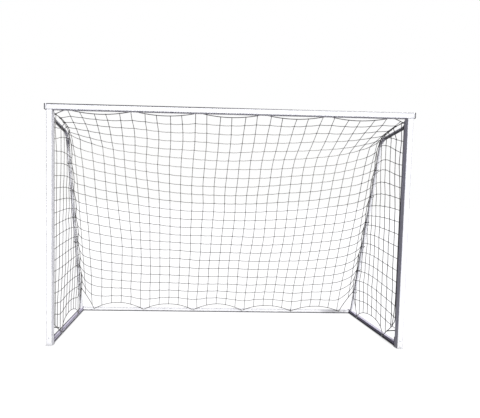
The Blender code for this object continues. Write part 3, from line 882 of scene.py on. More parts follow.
@dataclass
class BackNet:
    """Back net with its roof: rows lie along the crossbar, columns run over the back.

    Row 0 is the top rope, row `rows` the bottom rope. Columns 0 and `columns` are the seams that the
    side nets share.

    Attributes:
        rows: rows of meshes from the top rope to the bottom rope.
        roof_rows: how many of them lie in the roof.
        columns: columns of meshes from seam to seam.
        tied_each: every such row below the elbow is laced to the uprights.
        shoulder: how near the control point of the middle's curve lies to the elbow.
        starts: X of the third column at the top, in the middle and at the foot.
        pitches: pitches of the columns there.
        upper_band: shares of the way down between which the first pitch passes into the second.
        lower_band: the same for the second and the third.
        fold_band: the same for the limits of the roof and of the back.
        roof_limits: how far out the first two and the last three columns may stand on the roof.
        back_limits: the same for the back.
        pairing: how far columns stand towards each other in pairs along the crossbar.
        corner: where the net's top corner is tied.
        elbow_hold: depth and height where a seam passes over the elbow.
        seam_x: distance of the seams from the middle on the uprights.
        seam_end_z: height of the seams' lower ends.
        seam_bow: how far a seam bows inwards along the strut.
        bow_power: power of the parabola of that bow.
        seam_ahead: how far a seam stands in front of the upright's axis.
        slack: how far a seam hangs inwards where it is not laced.
        sag_top: how far the top rope sags between the hooks.
        swing_top: how far it swings back there.
        lifts: rise of the bottom rope between the hooks.
        swing_bottom: how far it comes forward there, as a share of its rise.
        passes: how often the pull is passed on from knot to knot.
        column_pull: weight of a knot's column against that of its row.
        give: weight that draws a knot back to the large form.
        drift: how far a knot strays at random.
        drift_passes: how often the strays are evened out with those of the neighbours.
        held_rows: rows from the ropes over which the bulges upwards fade out.
        held_columns: columns from the seams over which they do.
        seed: seed of the random strays.
        cord: half the thickness of a cord.
        cord_sag: sag of a cord between two knots.
        rope: half the thickness of a rope.
        rope_points: points along the top and the bottom rope.
        roundness: how round the rows, the columns and the seams run through their knots.
        knot: half sizes of the knots inside the net.
        hitch: half sizes of those on its ropes.
        points: the net's knots, set when it is hung.
    """

    rows: int = 23
    roof_rows: int = 5
    columns: int = 30
    tied_each: int = 3
    shoulder: float = 0.85
    starts: Triple = (-1.396, -1.41, -1.41)
    pitches: Triple = (0.112, 0.1084, 0.1067)
    upper_band: Pair = (0.0, 0.3)
    lower_band: Pair = (0.35, 1.0)
    fold_band: Pair = (0.18, 0.34)
    roof_limits: tuple[float, ...] = (1.503, 1.494, 1.473, 1.491, 1.503)
    back_limits: tuple[float, ...] = (1.503, 1.468, 1.425, 1.466, 1.503)
    pairing: float = 0.006
    corner: Triple = (1.497, -0.437, 1.974)
    elbow_hold: Pair = (-0.058, 1.869)
    seam_x: float = 1.503
    seam_end_z: float = 0.27
    seam_bow: float = 0.036
    bow_power: float = 0.6
    seam_ahead: float = 0.004
    slack: float = 0.010
    sag_top: float = 0.030
    swing_top: float = 0.014
    lifts: tuple[float, ...] = (0.082, 0.070, 0.078, 0.063, 0.062)
    swing_bottom: float = 0.28
    passes: int = 400
    column_pull: float = 4.0
    give: float = 0.2
    drift: Triple = (0.011, 0.010, 0.011)
    drift_passes: int = 2
    held_rows: float = 2.0
    held_columns: float = 1.5
    seed: int = 11
    cord: float = 0.0028
    cord_sag: float = 0.0035
    rope: float = 0.0034
    rope_points: int = 361
    roundness: Triple = (0.55, 0.6, 0.8)
    knot: Triple = (0.0058, 0.0064, 0.0045)
    hitch: Triple = (0.0052, 0.0050, 0.0046)
    points: Array = field(init=False)

    def __post_init__(self) -> None:
        """Hangs the net."""
        self.points = self.hang()

    @property
    def seam_end_y(self) -> float:
        """Depth where the seams end on the uprights."""
        return GOAL.upright_y(self.seam_end_z)

    def across(self, share: Array) -> Array:
        """X of each column: even pitches that tighten towards the ground.

        The outer columns are held in by the seams. Along the crossbar the columns stand in slight pairs.

        Args:
            share: (n, 1) shares of the way down.

        Returns:
            (n, columns + 1) places.
        """
        column = np.arange(self.columns + 1)
        ladder = zip(self.starts, self.pitches)
        top, middle, bottom = (start + pitch * (column - 2) for start, pitch in ladder)
        x = mix(mix(top, middle, smooth(*self.upper_band, share)), bottom, smooth(*self.lower_band, share))
        x = x + swell(SIDEWAYS, share * self.rows, column)
        x = x + np.where(column % 2 == 0, 1.0, -1.0) * self.pairing * np.clip(1 - 10 * share, 0, 1)
        limit = np.full(x.shape, np.inf)
        limits = np.array([self.roof_limits, self.back_limits])
        limit[:, [0, 1, -3, -2, -1]] = mix(*limits, smooth(*self.fold_band, share))
        return np.clip(x, -limit, limit)

    def form(self) -> Array:
        """Large form of the net.

        At the ends it folds over the elbows. In the middle each column is a quadratic curve from the
        crossbar to the rear bar. The first passes into the second with the square of x.

        Returns:
            (rows + 1, columns + 1, 3) points.
        """
        rows = np.arange(self.rows + 1)[:, None]
        share = rows / self.rows
        x = self.across(share)
        start = np.array([GOAL.rope_front, GOAL.rope_z_top])
        fold = np.array(GOAL.elbow)
        end = np.array([GOAL.rope_rear, GOAL.rope_z_bottom])
        roof = rows / self.roof_rows
        back = (rows - self.roof_rows) / (self.rows - self.roof_rows)
        folded = np.where(roof <= 1, mix(start, fold, roof), mix(fold, end, back))
        control = mix(end, fold, self.shoulder)
        first, second = np.linalg.norm(control - start), np.linalg.norm(end - control)
        run = (np.sqrt(first**2 + share * (second**2 - first**2)) - first) / (second - first)
        draped = mix(mix(start, control, run), mix(control, end, run), run)
        weight = (x / self.seam_x) ** 2
        yz = mix(draped[:, None], folded[:, None], weight[..., None])
        return np.concatenate([x[..., None], yz], axis=-1)

    def top_rope(self, x: Array) -> Array:
        """Top rope: it sags between the crossbar's hooks and drops to the corner ties.

        Args:
            x: places along the crossbar.

        Returns:
            The rope's points there.
        """
        holds = np.array(GOAL.hook_xs)
        sag = arch(x, holds)
        beyond = between(holds[-1], self.corner[0], np.abs(x))
        y = mix(GOAL.rope_front, self.corner[1], beyond) + self.swing_top * sag
        z = mix(GOAL.rope_z_top, self.corner[2], beyond**1.3) - self.sag_top * sag
        return stack(x, y, z)

    def bottom_rope(self, x: Array) -> Array:
        """Bottom rope: it rises between the rear bar's hooks and up to the seams' ends.

        Args:
            x: places along the rear bar.

        Returns:
            The rope's points there.
        """
        holds = np.array(GOAL.hook_xs)
        lift = arch(x, holds) * np.interp(x, (holds[1:] + holds[:-1]) / 2, self.lifts)
        beyond = between(holds[-1], self.seam_x, np.abs(x))
        y = mix(GOAL.rope_rear, self.seam_end_y, beyond) - self.swing_bottom * lift
        z = mix(GOAL.rope_z_bottom, self.seam_end_z, beyond**0.85) + lift
        return stack(x, y, z)

    def seam(self, side: Side) -> Array:
        """Seam of one side: along the strut, bowed inwards, then down the upright.

        Args:
            side: the side.

        Returns:
            The seam's knots.
        """
        rows = np.arange(self.rows + 1)
        roof = between(0, self.roof_rows, rows)
        down = between(self.roof_rows, self.rows, rows)
        below = down > 0
        loose = below & ((rows - self.roof_rows) % self.tied_each != 0)
        yz = mix(np.array(self.corner[1:]), np.array(self.elbow_hold), roof[:, None])
        z = np.where(below, mix(self.elbow_hold[1], self.seam_end_z, down), yz[:, 1])
        y = np.where(below, GOAL.upright_y(z) - self.seam_ahead, yz[:, 0])
        bowed = self.seam_bow * hump(roof) ** self.bow_power
        x = mix(self.corner[0], self.seam_x, roof) - bowed - self.slack * loose
        return side.mirror * stack(x, y, z)

    def hang(self) -> Array:
        """Knots of the net: its large form, what its edges pull it out of that form, and its bulges.

        The pull is given along the ropes and seams. Inside, each knot's pull is the mean of its
        neighbours', with more weight along the columns than along the rows.

        Returns:
            The knots.
        """
        form = self.form()
        edge = form.copy()
        edge[0] = self.top_rope(form[0, :, 0])
        edge[-1] = self.bottom_rope(form[-1, :, 0])
        edge[:, 0] = self.seam(Side.LEFT)
        edge[:, -1] = self.seam(Side.RIGHT)
        pull = edge - form
        pull[1:-1, 1:-1] = 0
        for _ in range(self.passes):
            down = pull[:-2, 1:-1] + pull[2:, 1:-1]
            beside = pull[1:-1, :-2] + pull[1:-1, 2:]
            pull[1:-1, 1:-1] = (self.column_pull * down + beside) / (2 * self.column_pull + 2 + self.give)
        drift = np.random.default_rng(self.seed).normal(0, 1, form.shape)
        for _ in range(self.drift_passes):
            drift[1:-1] = (drift[:-2] + 2 * drift[1:-1] + drift[2:]) / 4
            drift[:, 1:-1] = (drift[:, :-2] + 2 * drift[:, 1:-1] + drift[:, 2:]) / 4
        inside = np.zeros((*form.shape[:2], 1))
        inside[1:-1, 2:-2] = 1
        made = form + pull + drift * inside * self.drift
        row, column = np.arange(self.rows + 1.0)[:, None], np.arange(self.columns + 1.0)
        held = between(0, self.held_rows, np.minimum(row, self.rows - row))
        held = held * between(0, self.held_columns, np.minimum(column, self.columns - column))
        made[..., 2] += held * swell(UPWARDS, row, column)
        return made

    def build(self, cord: Material, rope: Material, seam: Material) -> None:
        """Makes the mesh of cords, the ropes at its edges and the ropes of its seams.

        Args:
            cord: finish of the mesh.
            rope: finish of the edge ropes.
            seam: finish of the seam ropes.
        """
        points, steps = self.points, 3
        across = refine(points[1:-1], steps, self.roundness[0])
        across[..., 2] -= self.cord_sag * bow(np.arange(across.shape[1]) % steps / steps)
        down = refine(points.transpose(1, 0, 2)[1:-1], steps, self.roundness[1])
        skin = Skin()
        skin.tubes(across, self.cord, CORD_SIDES, np.array([0.0, 0.3, 1.0]))
        skin.tubes(down, self.cord, CORD_SIDES, X_WAY)
        row_way, column_way = np.gradient(points, axis=(1, 0))
        for rows, columns, size in (
            (slice(1, -1), slice(None), self.knot),
            (slice(0, 1), slice(1, -1), self.hitch),
            (slice(-1, None), slice(1, -1), self.hitch),
        ):
            skin.knots(*(part[rows, columns].reshape(-1, 3) for part in (points, row_way, column_way)), size)
        skin.piece("back_net_mesh", Slot.CORD, cord, "net_back")
        ropes = Skin()
        for line, reach, reference in (
            (self.top_rope, self.corner[0], Z_WAY),
            (self.bottom_rope, self.seam_x, np.array([0.0, 1.0, 0.2])),
        ):
            ropes.tubes(line(np.linspace(-reach, reach, self.rope_points)), self.rope, ROPE_SIDES, reference)
        ropes.piece("back_net_ropes", Slot.CORD, rope)
        seams = Skin()
        for side in Side:
            line = refine(self.seam(side), 4, self.roundness[2])
            seams.tubes(line, self.rope, ROPE_SIDES, X_WAY)
        seams.piece("seam_ropes", Slot.CORD, seam)


@dataclass(frozen=True)
class SideHang:
    """How one side net hangs: places of its rows and columns.

    Attributes:
        row_top: height at the post from which the rows are counted.
        row_pitch: height from row to row.
        front_droop: how far the middle rows droop at the post.
        seam_offset: how much higher the rows end at the seam.
        crown: rise of the rows' middles at CROWN_ROWS.
        column_start: depth of the first column's even place.
        column_pitch: depth from column to column.
        column_bottom: how far back the columns move near the foot.
        front: depths of the first column at FRONT_HEIGHTS.
        corner: depth and height of the net's front corner at the foot.
        peak: rise of the bottom rope between the side bar's hooks.
        bulges: where the rows lie higher or lower than their even form.
    """

    row_top: float
    row_pitch: float
    front_droop: float
    seam_offset: float
    crown: tuple[float, ...]
    column_start: float
    column_pitch: float
    column_bottom: float
    front: tuple[float, ...]
    corner: Pair
    peak: float
    bulges: tuple[Bulge, ...]


SWING_STEPS = (-1.0, -0.5, 0.0, 0.5, 1.0)
CROWN_ROWS = (1.0, 4.0, 6.0, 7.5, 10.0, 13.0, 17.0)
FRONT_HEIGHTS = (0.0, 0.17, 0.4, 0.9, 1.15, 1.45, 1.62, 1.8, 1.955)
HANGS: dict[Side, SideHang] = {
    Side.LEFT: SideHang(
        row_top=1.9615, row_pitch=0.0995, front_droop=0.032, seam_offset=-0.006,
        crown=(0.0, 0.016, 0.018, 0.022, 0.028, 0.008, 0.012),
        column_start=-0.405, column_pitch=0.0765, column_bottom=-0.040,
        front=(-0.43, -0.425, -0.414, -0.402, -0.400, -0.393, -0.388, -0.41, -0.437),
        corner=(-0.444, 0.165), peak=0.128,
        bulges=(
            Bulge(2.6, 0.45, 1.3, 0.35, 0.014), Bulge(5.8, 0.85, 3.0, 0.36, -0.018),
            Bulge(11.0, 0.0, 2.0, 0.12, -0.011), Bulge(13.5, 0.95, 1.8, 0.40, 0.015),
            Bulge(16.3, 0.55, 1.1, 0.28, -0.013),
        ),
    ),
    Side.RIGHT: SideHang(
        row_top=1.917, row_pitch=0.1035, front_droop=0.0, seam_offset=0.036,
        crown=(0.0, 0.045, 0.034, 0.017, 0.030, 0.034, 0.045),
        column_start=-0.455, column_pitch=0.0785, column_bottom=0.022,
        front=(-0.40, -0.402, -0.435, -0.441, -0.440, -0.424, -0.400, -0.408, -0.437),
        corner=(-0.403, 0.165), peak=0.118,
        bulges=(
            Bulge(3.0, 0.60, 2.0, 0.30, 0.026), Bulge(7.2, 0.15, 2.6, 0.45, 0.022),
            Bulge(11.8, 0.85, 3.4, 0.50, 0.024), Bulge(15.7, 0.0, 1.4, 0.10, -0.014),
            Bulge(17.0, 0.90, 0.9, 0.30, -0.012),
        ),
    ),
}


@dataclass
class SideNet:
    """Side net between a post, a strut, an upright and a side bar.

    Rows run from the edge rope at the post to the seam of the back net, and the first of them to the
    strut. Columns stand at an even pitch and start at the strut or at the seam.

    Attributes:
        side: side of the goal.
        back: the back net, whose seam it shares.
        rows: rows of meshes down the post.
        columns: number of the last column tried.
        edge_y: depth of the edge rope at the post.
        edge_x: distance of the edge rope from the middle.
        strut_row: depth and distance from the middle where the first row ends on the strut.
        strut_drop: how far that end lies below the strut's axis.
        second_lift: how much higher the second row ends than its pitch says.
        reach: half the stretch over which a row takes the mean of the rope's swings.
        fade: how much of a swing is left from one row to the next.
        swing_limits: the most that a swing takes a row down and up.
        hollow: how far the net hangs inwards in its middle.
        droop_in: rows between which the droop at the post sets in.
        droop_out: rows between which it ends.
        crown_skew: power that moves a row's crown towards the seam.
        arch_skew: power that moves the bottom rope's arch towards the post.
        arch_power: power of that arch's parabola.
        rise_power: power of the bottom rope's rise to the seam's end.
        lean: how far the columns stand back near the top.
        lean_heights: heights between which they lean.
        spread_heights: heights between which they spread.
        lead: how far above its first knot a column starts, as a share of the next step.
        clearances: how far a column's knots stay from the post's rope and from the seam.
        least_drop: a knot that lies less than this below the one above it is left out.
        stray: how far a knot strays along its row at random.
        foot_height: height below which the edge rope leaves the post.
        cord: half the thickness of a cord.
        cord_sag: sag of a row between two columns.
        rope: half the thickness of a rope.
        roundness: how round the columns run through their knots.
        row_points: points along a row.
        rope_points: points along the bottom rope.
        edge_points: points along the edge rope.
        seed: seed of the random strays.
    """

    side: Side
    back: BackNet
    rows: int = 18
    columns: int = 10
    edge_y: float = -0.4445
    edge_x: float = 1.5030
    strut_row: Pair = (-0.17, 1.498)
    strut_drop: float = 0.012
    second_lift: float = 0.075
    reach: float = 0.075
    fade: float = 0.62
    swing_limits: Pair = (-0.12, 0.02)
    hollow: float = 0.010
    droop_in: Pair = (3.0, 9.0)
    droop_out: Pair = (17.5, 14.0)
    crown_skew: float = 1.25
    arch_skew: float = 0.82
    arch_power: float = 0.6
    rise_power: float = 0.9
    lean: float = 0.038
    lean_heights: Pair = (1.1, 1.7)
    spread_heights: Pair = (0.7, 0.3)
    lead: float = 0.3
    clearances: Pair = (0.006, 0.010)
    least_drop: float = 0.008
    stray: float = 0.0022
    foot_height: float = 0.235
    cord: float = 0.0028
    cord_sag: float = 0.004
    rope: float = 0.0031
    roundness: float = 0.5
    row_points: int = 49
    rope_points: int = 181
    edge_points: int = 73
    seed: int = 5

    @property
    def shape(self) -> SideHang:
        """How this side hangs."""
        return HANGS[self.side]

    @property
    def seam(self) -> Array:
        """The seam's knots from the corner down."""
        return self.back.points[:, 0 if self.side is Side.LEFT else -1]

    def seam_x(self, z: Array) -> Array:
        """Distance of the seam from the middle at heights below the elbow."""
        low = self.seam[self.back.roof_rows:][::-1]
        return np.interp(z, low[:, 2], np.abs(low[:, 0]))

    def on_strut(self, rows: Array | int) -> Array | bool:
        """Whether rows end on the strut, as only the first one does."""
        return rows < 1.5

    def ends(self, rows: Array) -> tuple[Array, Array, Array]:
        """Ends of rows.

        Args:
            rows: numbers of the rows.

        Returns:
            Their heights at the post, and the depths and heights of their far ends.
        """
        shape = self.shape
        front = shape.row_top - shape.row_pitch * rows
        lift = shape.seam_offset + self.second_lift * np.clip(3 - rows, 0, 1)
        far_z = front + lift + swell(shape.bulges, rows, 1.0)
        on_strut = self.on_strut(rows)
        far_y = np.where(on_strut, self.strut_row[0], GOAL.upright_y(far_z) - self.back.seam_ahead)
        far_z = np.where(on_strut, GOAL.strut_z(self.strut_row[0]) - self.strut_drop, far_z)
        droop = shape.front_droop * smooth(*self.droop_in, rows) * smooth(*self.droop_out, rows)
        return front - droop, far_y, far_z

    def bottom_z(self, y: Array) -> Array:
        """Height of the bottom rope: front corner, first hook, arch, second hook, seam's end.

        The arch is a power of a parabola, skewed towards the post.

        Args:
            y: depths.

        Returns:
            The heights there.
        """
        first, second = GOAL.side_hook_ys
        low, corner = GOAL.rope_z_bottom, self.shape.corner
        z = low + self.shape.peak * hump(between(first, second, y) ** self.arch_skew) ** self.arch_power
        z = np.where(y < first, mix(corner[1], low, between(corner[0], first, y)), z)
        behind = between(second, self.back.seam_end_y, y) ** self.rise_power
        return np.where(y > second, mix(low, self.back.seam_end_z, behind), z)

    def row(self, rows: Array | int, y: Array) -> Array:
        """Points of rows.

        A row's height runs straight from the post to its far end, plus a crown that is a sine of the
        skewed run, plus a share of the bottom rope's swings that shrinks row by row upwards. Each row
        takes the swings as a mean over a stretch, so that no row turns as sharply as the rope does.

        Args:
            rows: numbers of the rows.
            y: depths.

        Returns:
            The points at these depths.
        """
        shape, above = self.shape, self.rows - rows
        front, far_y, far_z = self.ends(rows)
        share = between(self.edge_y, far_y, y)
        crown = np.interp(rows, CROWN_ROWS, shape.crown) * bow(share**self.crown_skew)
        reach = self.reach * np.clip(above, 0, 1)
        level = shape.row_top - shape.row_pitch * self.rows
        swings = (self.bottom_z(y + step * reach) - level for step in SWING_STEPS)
        swing = sum(np.clip(swing, *self.swing_limits) for swing in swings)
        z = mix(front, far_z, share) + crown + swing / len(SWING_STEPS) * self.fade**above
        z = z + swell(shape.bulges, rows, share) - share * swell(shape.bulges, rows, 1.0)
        far_x = np.where(self.on_strut(rows), self.strut_row[1], self.seam_x(far_z))
        hollow = self.hollow * bow(share) * bow(rows / self.rows)
        return self.side.mirror * stack(mix(self.edge_x, far_x, share) - hollow, y, z)

    def bottom_rope(self, y: Array) -> Array:
        """Bottom rope of the side net.

        Args:
            y: depths.

        Returns:
            The rope's points there.
        """
        points = self.row(self.rows, y)
        points[:, 2] = self.bottom_z(y)
        return points

    def column_y(self, index: int, z: Array) -> Array:
        """Depth of a column: the even pitch, moved back near the top and spread below.

        The first column follows the edge rope, which leaves the post near the top.

        Args:
            index: number of the column.
            z: heights.

        Returns:
            The depths there.
        """
        shape = self.shape
        if index == 0:
            return np.interp(z, FRONT_HEIGHTS, shape.front)
        spread = 1.0 if self.side is Side.LEFT else (index - 2) / 3
        y = shape.column_start + shape.column_pitch * index
        y = y + self.lean * smooth(*self.lean_heights, z)
        return y + shape.column_bottom * spread * smooth(*self.spread_heights, z)

    def column(self, index: int, rng: np.random.Generator) -> Array | None:
        """Knots of a column from its top to the bottom rope.

        Args:
            index: number of the column.
            rng: source of the random strays.

        Returns:
            The knots, or None where the column has no room.
        """
        elbow = self.back.roof_rows
        strut, below = self.seam[: elbow + 1], self.seam[elbow:]
        rows = np.arange(1.0, self.rows)
        front, far_y, far_z = self.ends(rows)
        depth = self.column_y(index, mix(front, far_z, 0.5))
        own = (depth > self.edge_y + self.clearances[0]) & (depth < far_y - self.clearances[1])
        if own.sum() < 2:
            return None
        nodes = self.row(rows[own], depth[own])
        first = nodes[0, 1] - self.lead * (nodes[1, 1] - nodes[0, 1])
        line = strut if first < strut[-1, 1] else below
        top = np.array([[np.interp(first, line[:, 1], line[:, axis]) for axis in range(3)]])
        foot = self.bottom_rope(nodes[-1:, 1])
        nodes[:, 1] += rng.normal(0, self.stray, len(nodes)) * (index > 0)
        path = np.concatenate([top, nodes, foot])
        return path[np.concatenate([[True], path[1:, 2] < path[:-1, 2] - self.least_drop])]

    def build(self, cord: Material, rope: Material) -> None:
        """Makes the mesh of cords and the ropes at its edges.

        Args:
            cord: finish of the mesh.
            rope: finish of the ropes.
        """
        shape, label = self.shape, self.side.label
        rng = np.random.default_rng(self.seed + self.side.value)
        rows = np.arange(1.0, self.rows)[:, None]
        share = np.linspace(0, 1, self.row_points)
        y = mix(self.edge_y, self.ends(rows)[1], share)
        lines = self.row(rows, y)
        between_columns = np.abs(bow((y - shape.column_start) / shape.column_pitch))
        lines[..., 2] -= self.cord_sag * between_columns * bow(share)
        skin = Skin()
        skin.tubes(lines, self.cord, CORD_SIDES, Z_WAY)
        for index in range(self.columns + 1):
            path = self.column(index, rng)
            if path is not None:
                line = refine(path, 3, self.roundness)
                skin.tubes(line, self.cord, CORD_SIDES, np.array([0.0, 1.0, 0.1]))
                skin.knots(path[1:-1], Y_WAY, -Z_WAY, self.back.knot)
        skin.piece(f"side_net_mesh_{label}", Slot.CORD, cord, f"net_{label}")
        z = np.linspace(self.back.corner[2], shape.corner[1], self.edge_points)
        foot = smooth(self.foot_height, shape.corner[1], z)
        front = stack(self.edge_x, mix(self.edge_y, shape.corner[0], foot), z)
        y = np.linspace(shape.corner[0], self.back.seam_end_y - self.back.seam_ahead, self.rope_points)
        ropes = Skin()
        for line in (self.bottom_rope(y), self.side.mirror * front):
            ropes.tubes(line, self.rope, ROPE_SIDES, X_WAY)
        ropes.piece(f"side_net_ropes_{label}", Slot.CORD, rope)


@dataclass
class Lacing:
    """Cord ties: seam to elbow and upright, corner to strut, and the side net's foot to the post.

    Attributes:
        side: side of the goal.
        back: the back net, whose seam is laced.
        cord: half the thickness of the cord.
        advance: way along the stay a turn, in halves of that thickness.
        turns: turns of cord at each tie on an upright.
        lean: tilt of these turns along the upright.
        clearance: gap between the cord and the stay.
        corner_y: depth of the turns that hold the net's corner to the strut.
        corner_turns: how many they are.
        foot_tie: places of the foot's tie on the side net, at the post and in the post.
        foot_spread: half the height between the foot tie's two cords.
        knot: half sizes of the knots on the uprights.
        corner_knot: half sizes of the knot at the net's top corner.
        foot_knot: half sizes of the knots of the foot tie.
    """

    side: Side
    back: BackNet
    cord: float = 0.0023
    advance: float = 2.1
    turns: float = 2.0
    lean: float = 0.004
    clearance: float = 0.0004
    corner_y: float = -0.425
    corner_turns: float = 3.0
    foot_tie: tuple[Triple, ...] = ((1.5015, -0.33, 0.095), (1.5015, -0.4465, 0.142), (1.522, -0.4465, 0.142))
    foot_spread: float = 0.0024
    knot: Triple = (0.007, 0.008, 0.0045)
    corner_knot: Triple = (0.009, 0.009, 0.007)
    foot_knot: Triple = (0.008, 0.0075, 0.0035)

    def coil(self, place: Pair, axis: Array, turns: float, lean: float) -> Array:
        """Turns of cord round a stay.

        A point is the middle plus a radius times (cos a * E + sin a * F), moved along the axis by a
        little more than the cord's thickness a turn, with E pointing inwards.

        Args:
            place: depth and height of a point on the stay's axis.
            axis: the stay's direction.
            turns: how often the cord goes round.
            lean: tilt of the turns along the axis.

        Returns:
            The cord's centre line.
        """
        inward = -self.side.value * X_WAY
        other = np.cross(axis, inward)
        angle = TAU * turns * np.linspace(0, 1, int(24 * turns) + 1)[:, None]
        radius = GOAL.stay_radius + self.cord + self.clearance
        run = (angle / TAU - turns / 2) * self.cord * self.advance + lean * np.sin(angle / 2)
        middle = self.side.mirror * (GOAL.post_x, *place)
        return middle + radius * (np.cos(angle) * inward + np.sin(angle) * other) + run * axis

    def build(self, rope: Material) -> None:
        """Makes the ties of one side.

        Args:
            rope: their finish.
        """
        skin, net, mirror = Skin(), self.back, self.side.mirror
        seam = net.seam(self.side)
        down, back = way(GOAL.elbow, GOAL.foot), way(GOAL.strut_front, GOAL.elbow)
        for row in range(net.roof_rows + net.tied_each, net.rows + 1, net.tied_each):
            z = seam[row, 2]
            tie = self.coil((GOAL.upright_y(z), z), down, self.turns, self.lean)
            skin.tubes(tie, self.cord, ROPE_SIDES, down)
            skin.knots(seam[None, row] - 0.002 * Y_WAY, Y_WAY, down, self.knot)
        corner = self.coil((self.corner_y, GOAL.strut_z(self.corner_y)), back, self.corner_turns, 0.0)
        skin.tubes(corner, self.cord, ROPE_SIDES, back)
        skin.knots((mirror * net.corner)[None], X_WAY, np.array([0.0, 0.5, 1.0]), self.corner_knot)
        start, bend, end = mirror * np.array(self.foot_tie)
        path = refine(np.stack([start, mix(start, bend, 0.5), bend, end]), 6, 0.7)
        for shift in (-self.foot_spread, self.foot_spread):
            skin.tubes(path + shift * Z_WAY, self.cord, ROPE_SIDES, Z_WAY)
        skin.knots(np.stack([start, end]), np.stack([Y_WAY, X_WAY]), Z_WAY, self.foot_knot)
        skin.piece(f"lacing_{self.side.label}", Slot.CORD, rope)


class FrameDress:
    """Gives the carried-over CAD nodes their finishes."""

    def __init__(self, groups: Groups) -> None:
        """Builds the finishes, each for a slot and a start of names. The last one that fits is used.

        Args:
            groups: the shared node groups.
        """
        # The side bars' darker lavender colour is painted shade on the same white paint, with dark painted
        # edges and a painted contact shadow at the ground.
        ground = PowderCoat(
            "powder_coat_side_bar_right", colour=(0.64, 0.61, 0.74), rim=(0.03, 0.03, 0.045), edge_shade_share=0.9,
            rounding=0.011, specular=0.05, soil_amount=0.35, line=0.017,
        )
        # Painted shade: dark edges and a dark line at the ground on the rear bar, a dark line along the
        # crossbar's top edge, and dark undersides on the struts.
        rear = PowderCoat("powder_coat_rear_bar", rim=(0.06, 0.06, 0.065), edge_shade_share=0.8, rounding=0.006,
                          line=0.010)
        top = PowderCoat("powder_coat_crossbar", rim=(0.06, 0.058, 0.065), edge_shade_share=0.10, rounding=0.010,
                         top_edge_shade=0.0095)
        stays = PowderCoat("powder_coat_stays", edge_shade_share=0.0, rounding=0.006)
        struts = PowderCoat("powder_coat_struts", edge_shade_share=0.0, rounding=0.010, under_share=0.95)
        self.rules = [(slot, start, finish.build(groups)) for slot, start, finish in (
            (Slot.PAINT, "", PowderCoat("powder_coat")),
            (Slot.PLASTIC, "", MouldedPlastic("cap_plastic")),
            (Slot.STEEL, "", ZincSteel("galvanised_steel")),
            (Slot.PAINT, ("elbow_", "upright_"), stays),
            (Slot.PAINT, "strut_", struts),
            (Slot.PAINT, "side_bar_left", replace(ground, name="powder_coat_side_bar_left", outer=0.013)),
            (Slot.PAINT, "side_bar_right", ground),
            (Slot.PAINT, "rear_bar", rear),
            (Slot.PAINT, "crossbar", top),
            # Painted shade on the outer ends of the crossbar's caps.
            (Slot.PLASTIC, "crossbar_end_cap_", MouldedPlastic("crossbar_cap_plastic", dark_from=1.5575)),
        )]

    def dress(self) -> None:
        """Puts each node's finish in its material slots. The net's nodes have none."""
        slots = {part["node"]: Slot(part["material_slot"]) for part in frame["record"]["subparts"]}
        for name, node in frame["nodes"].items():
            slot = slots[name]
            fitting = [made for kind, start, made in self.rules if kind is slot and name.startswith(start)]
            if fitting:
                for index in range(len(node.data.materials)):
                    node.data.materials[index] = fitting[-1]
                LOG.info("%s: %s", name, slot.value)


@dataclass(frozen=True)
class Sun:
    """A sun lamp: its name, the direction it shines from, its strength and its width in degrees."""

    name: str
    way: Triple
    strength: float
    width: float

    def build(self) -> None:
        """Adds the lamp."""
        data = bpy.data.lights.new(self.name, "SUN")
        data.energy = self.strength
        data.angle = math.radians(self.width)
        link(self.name, data).rotation_euler = Vector(self.way).to_track_quat("Z", "Y").to_euler()


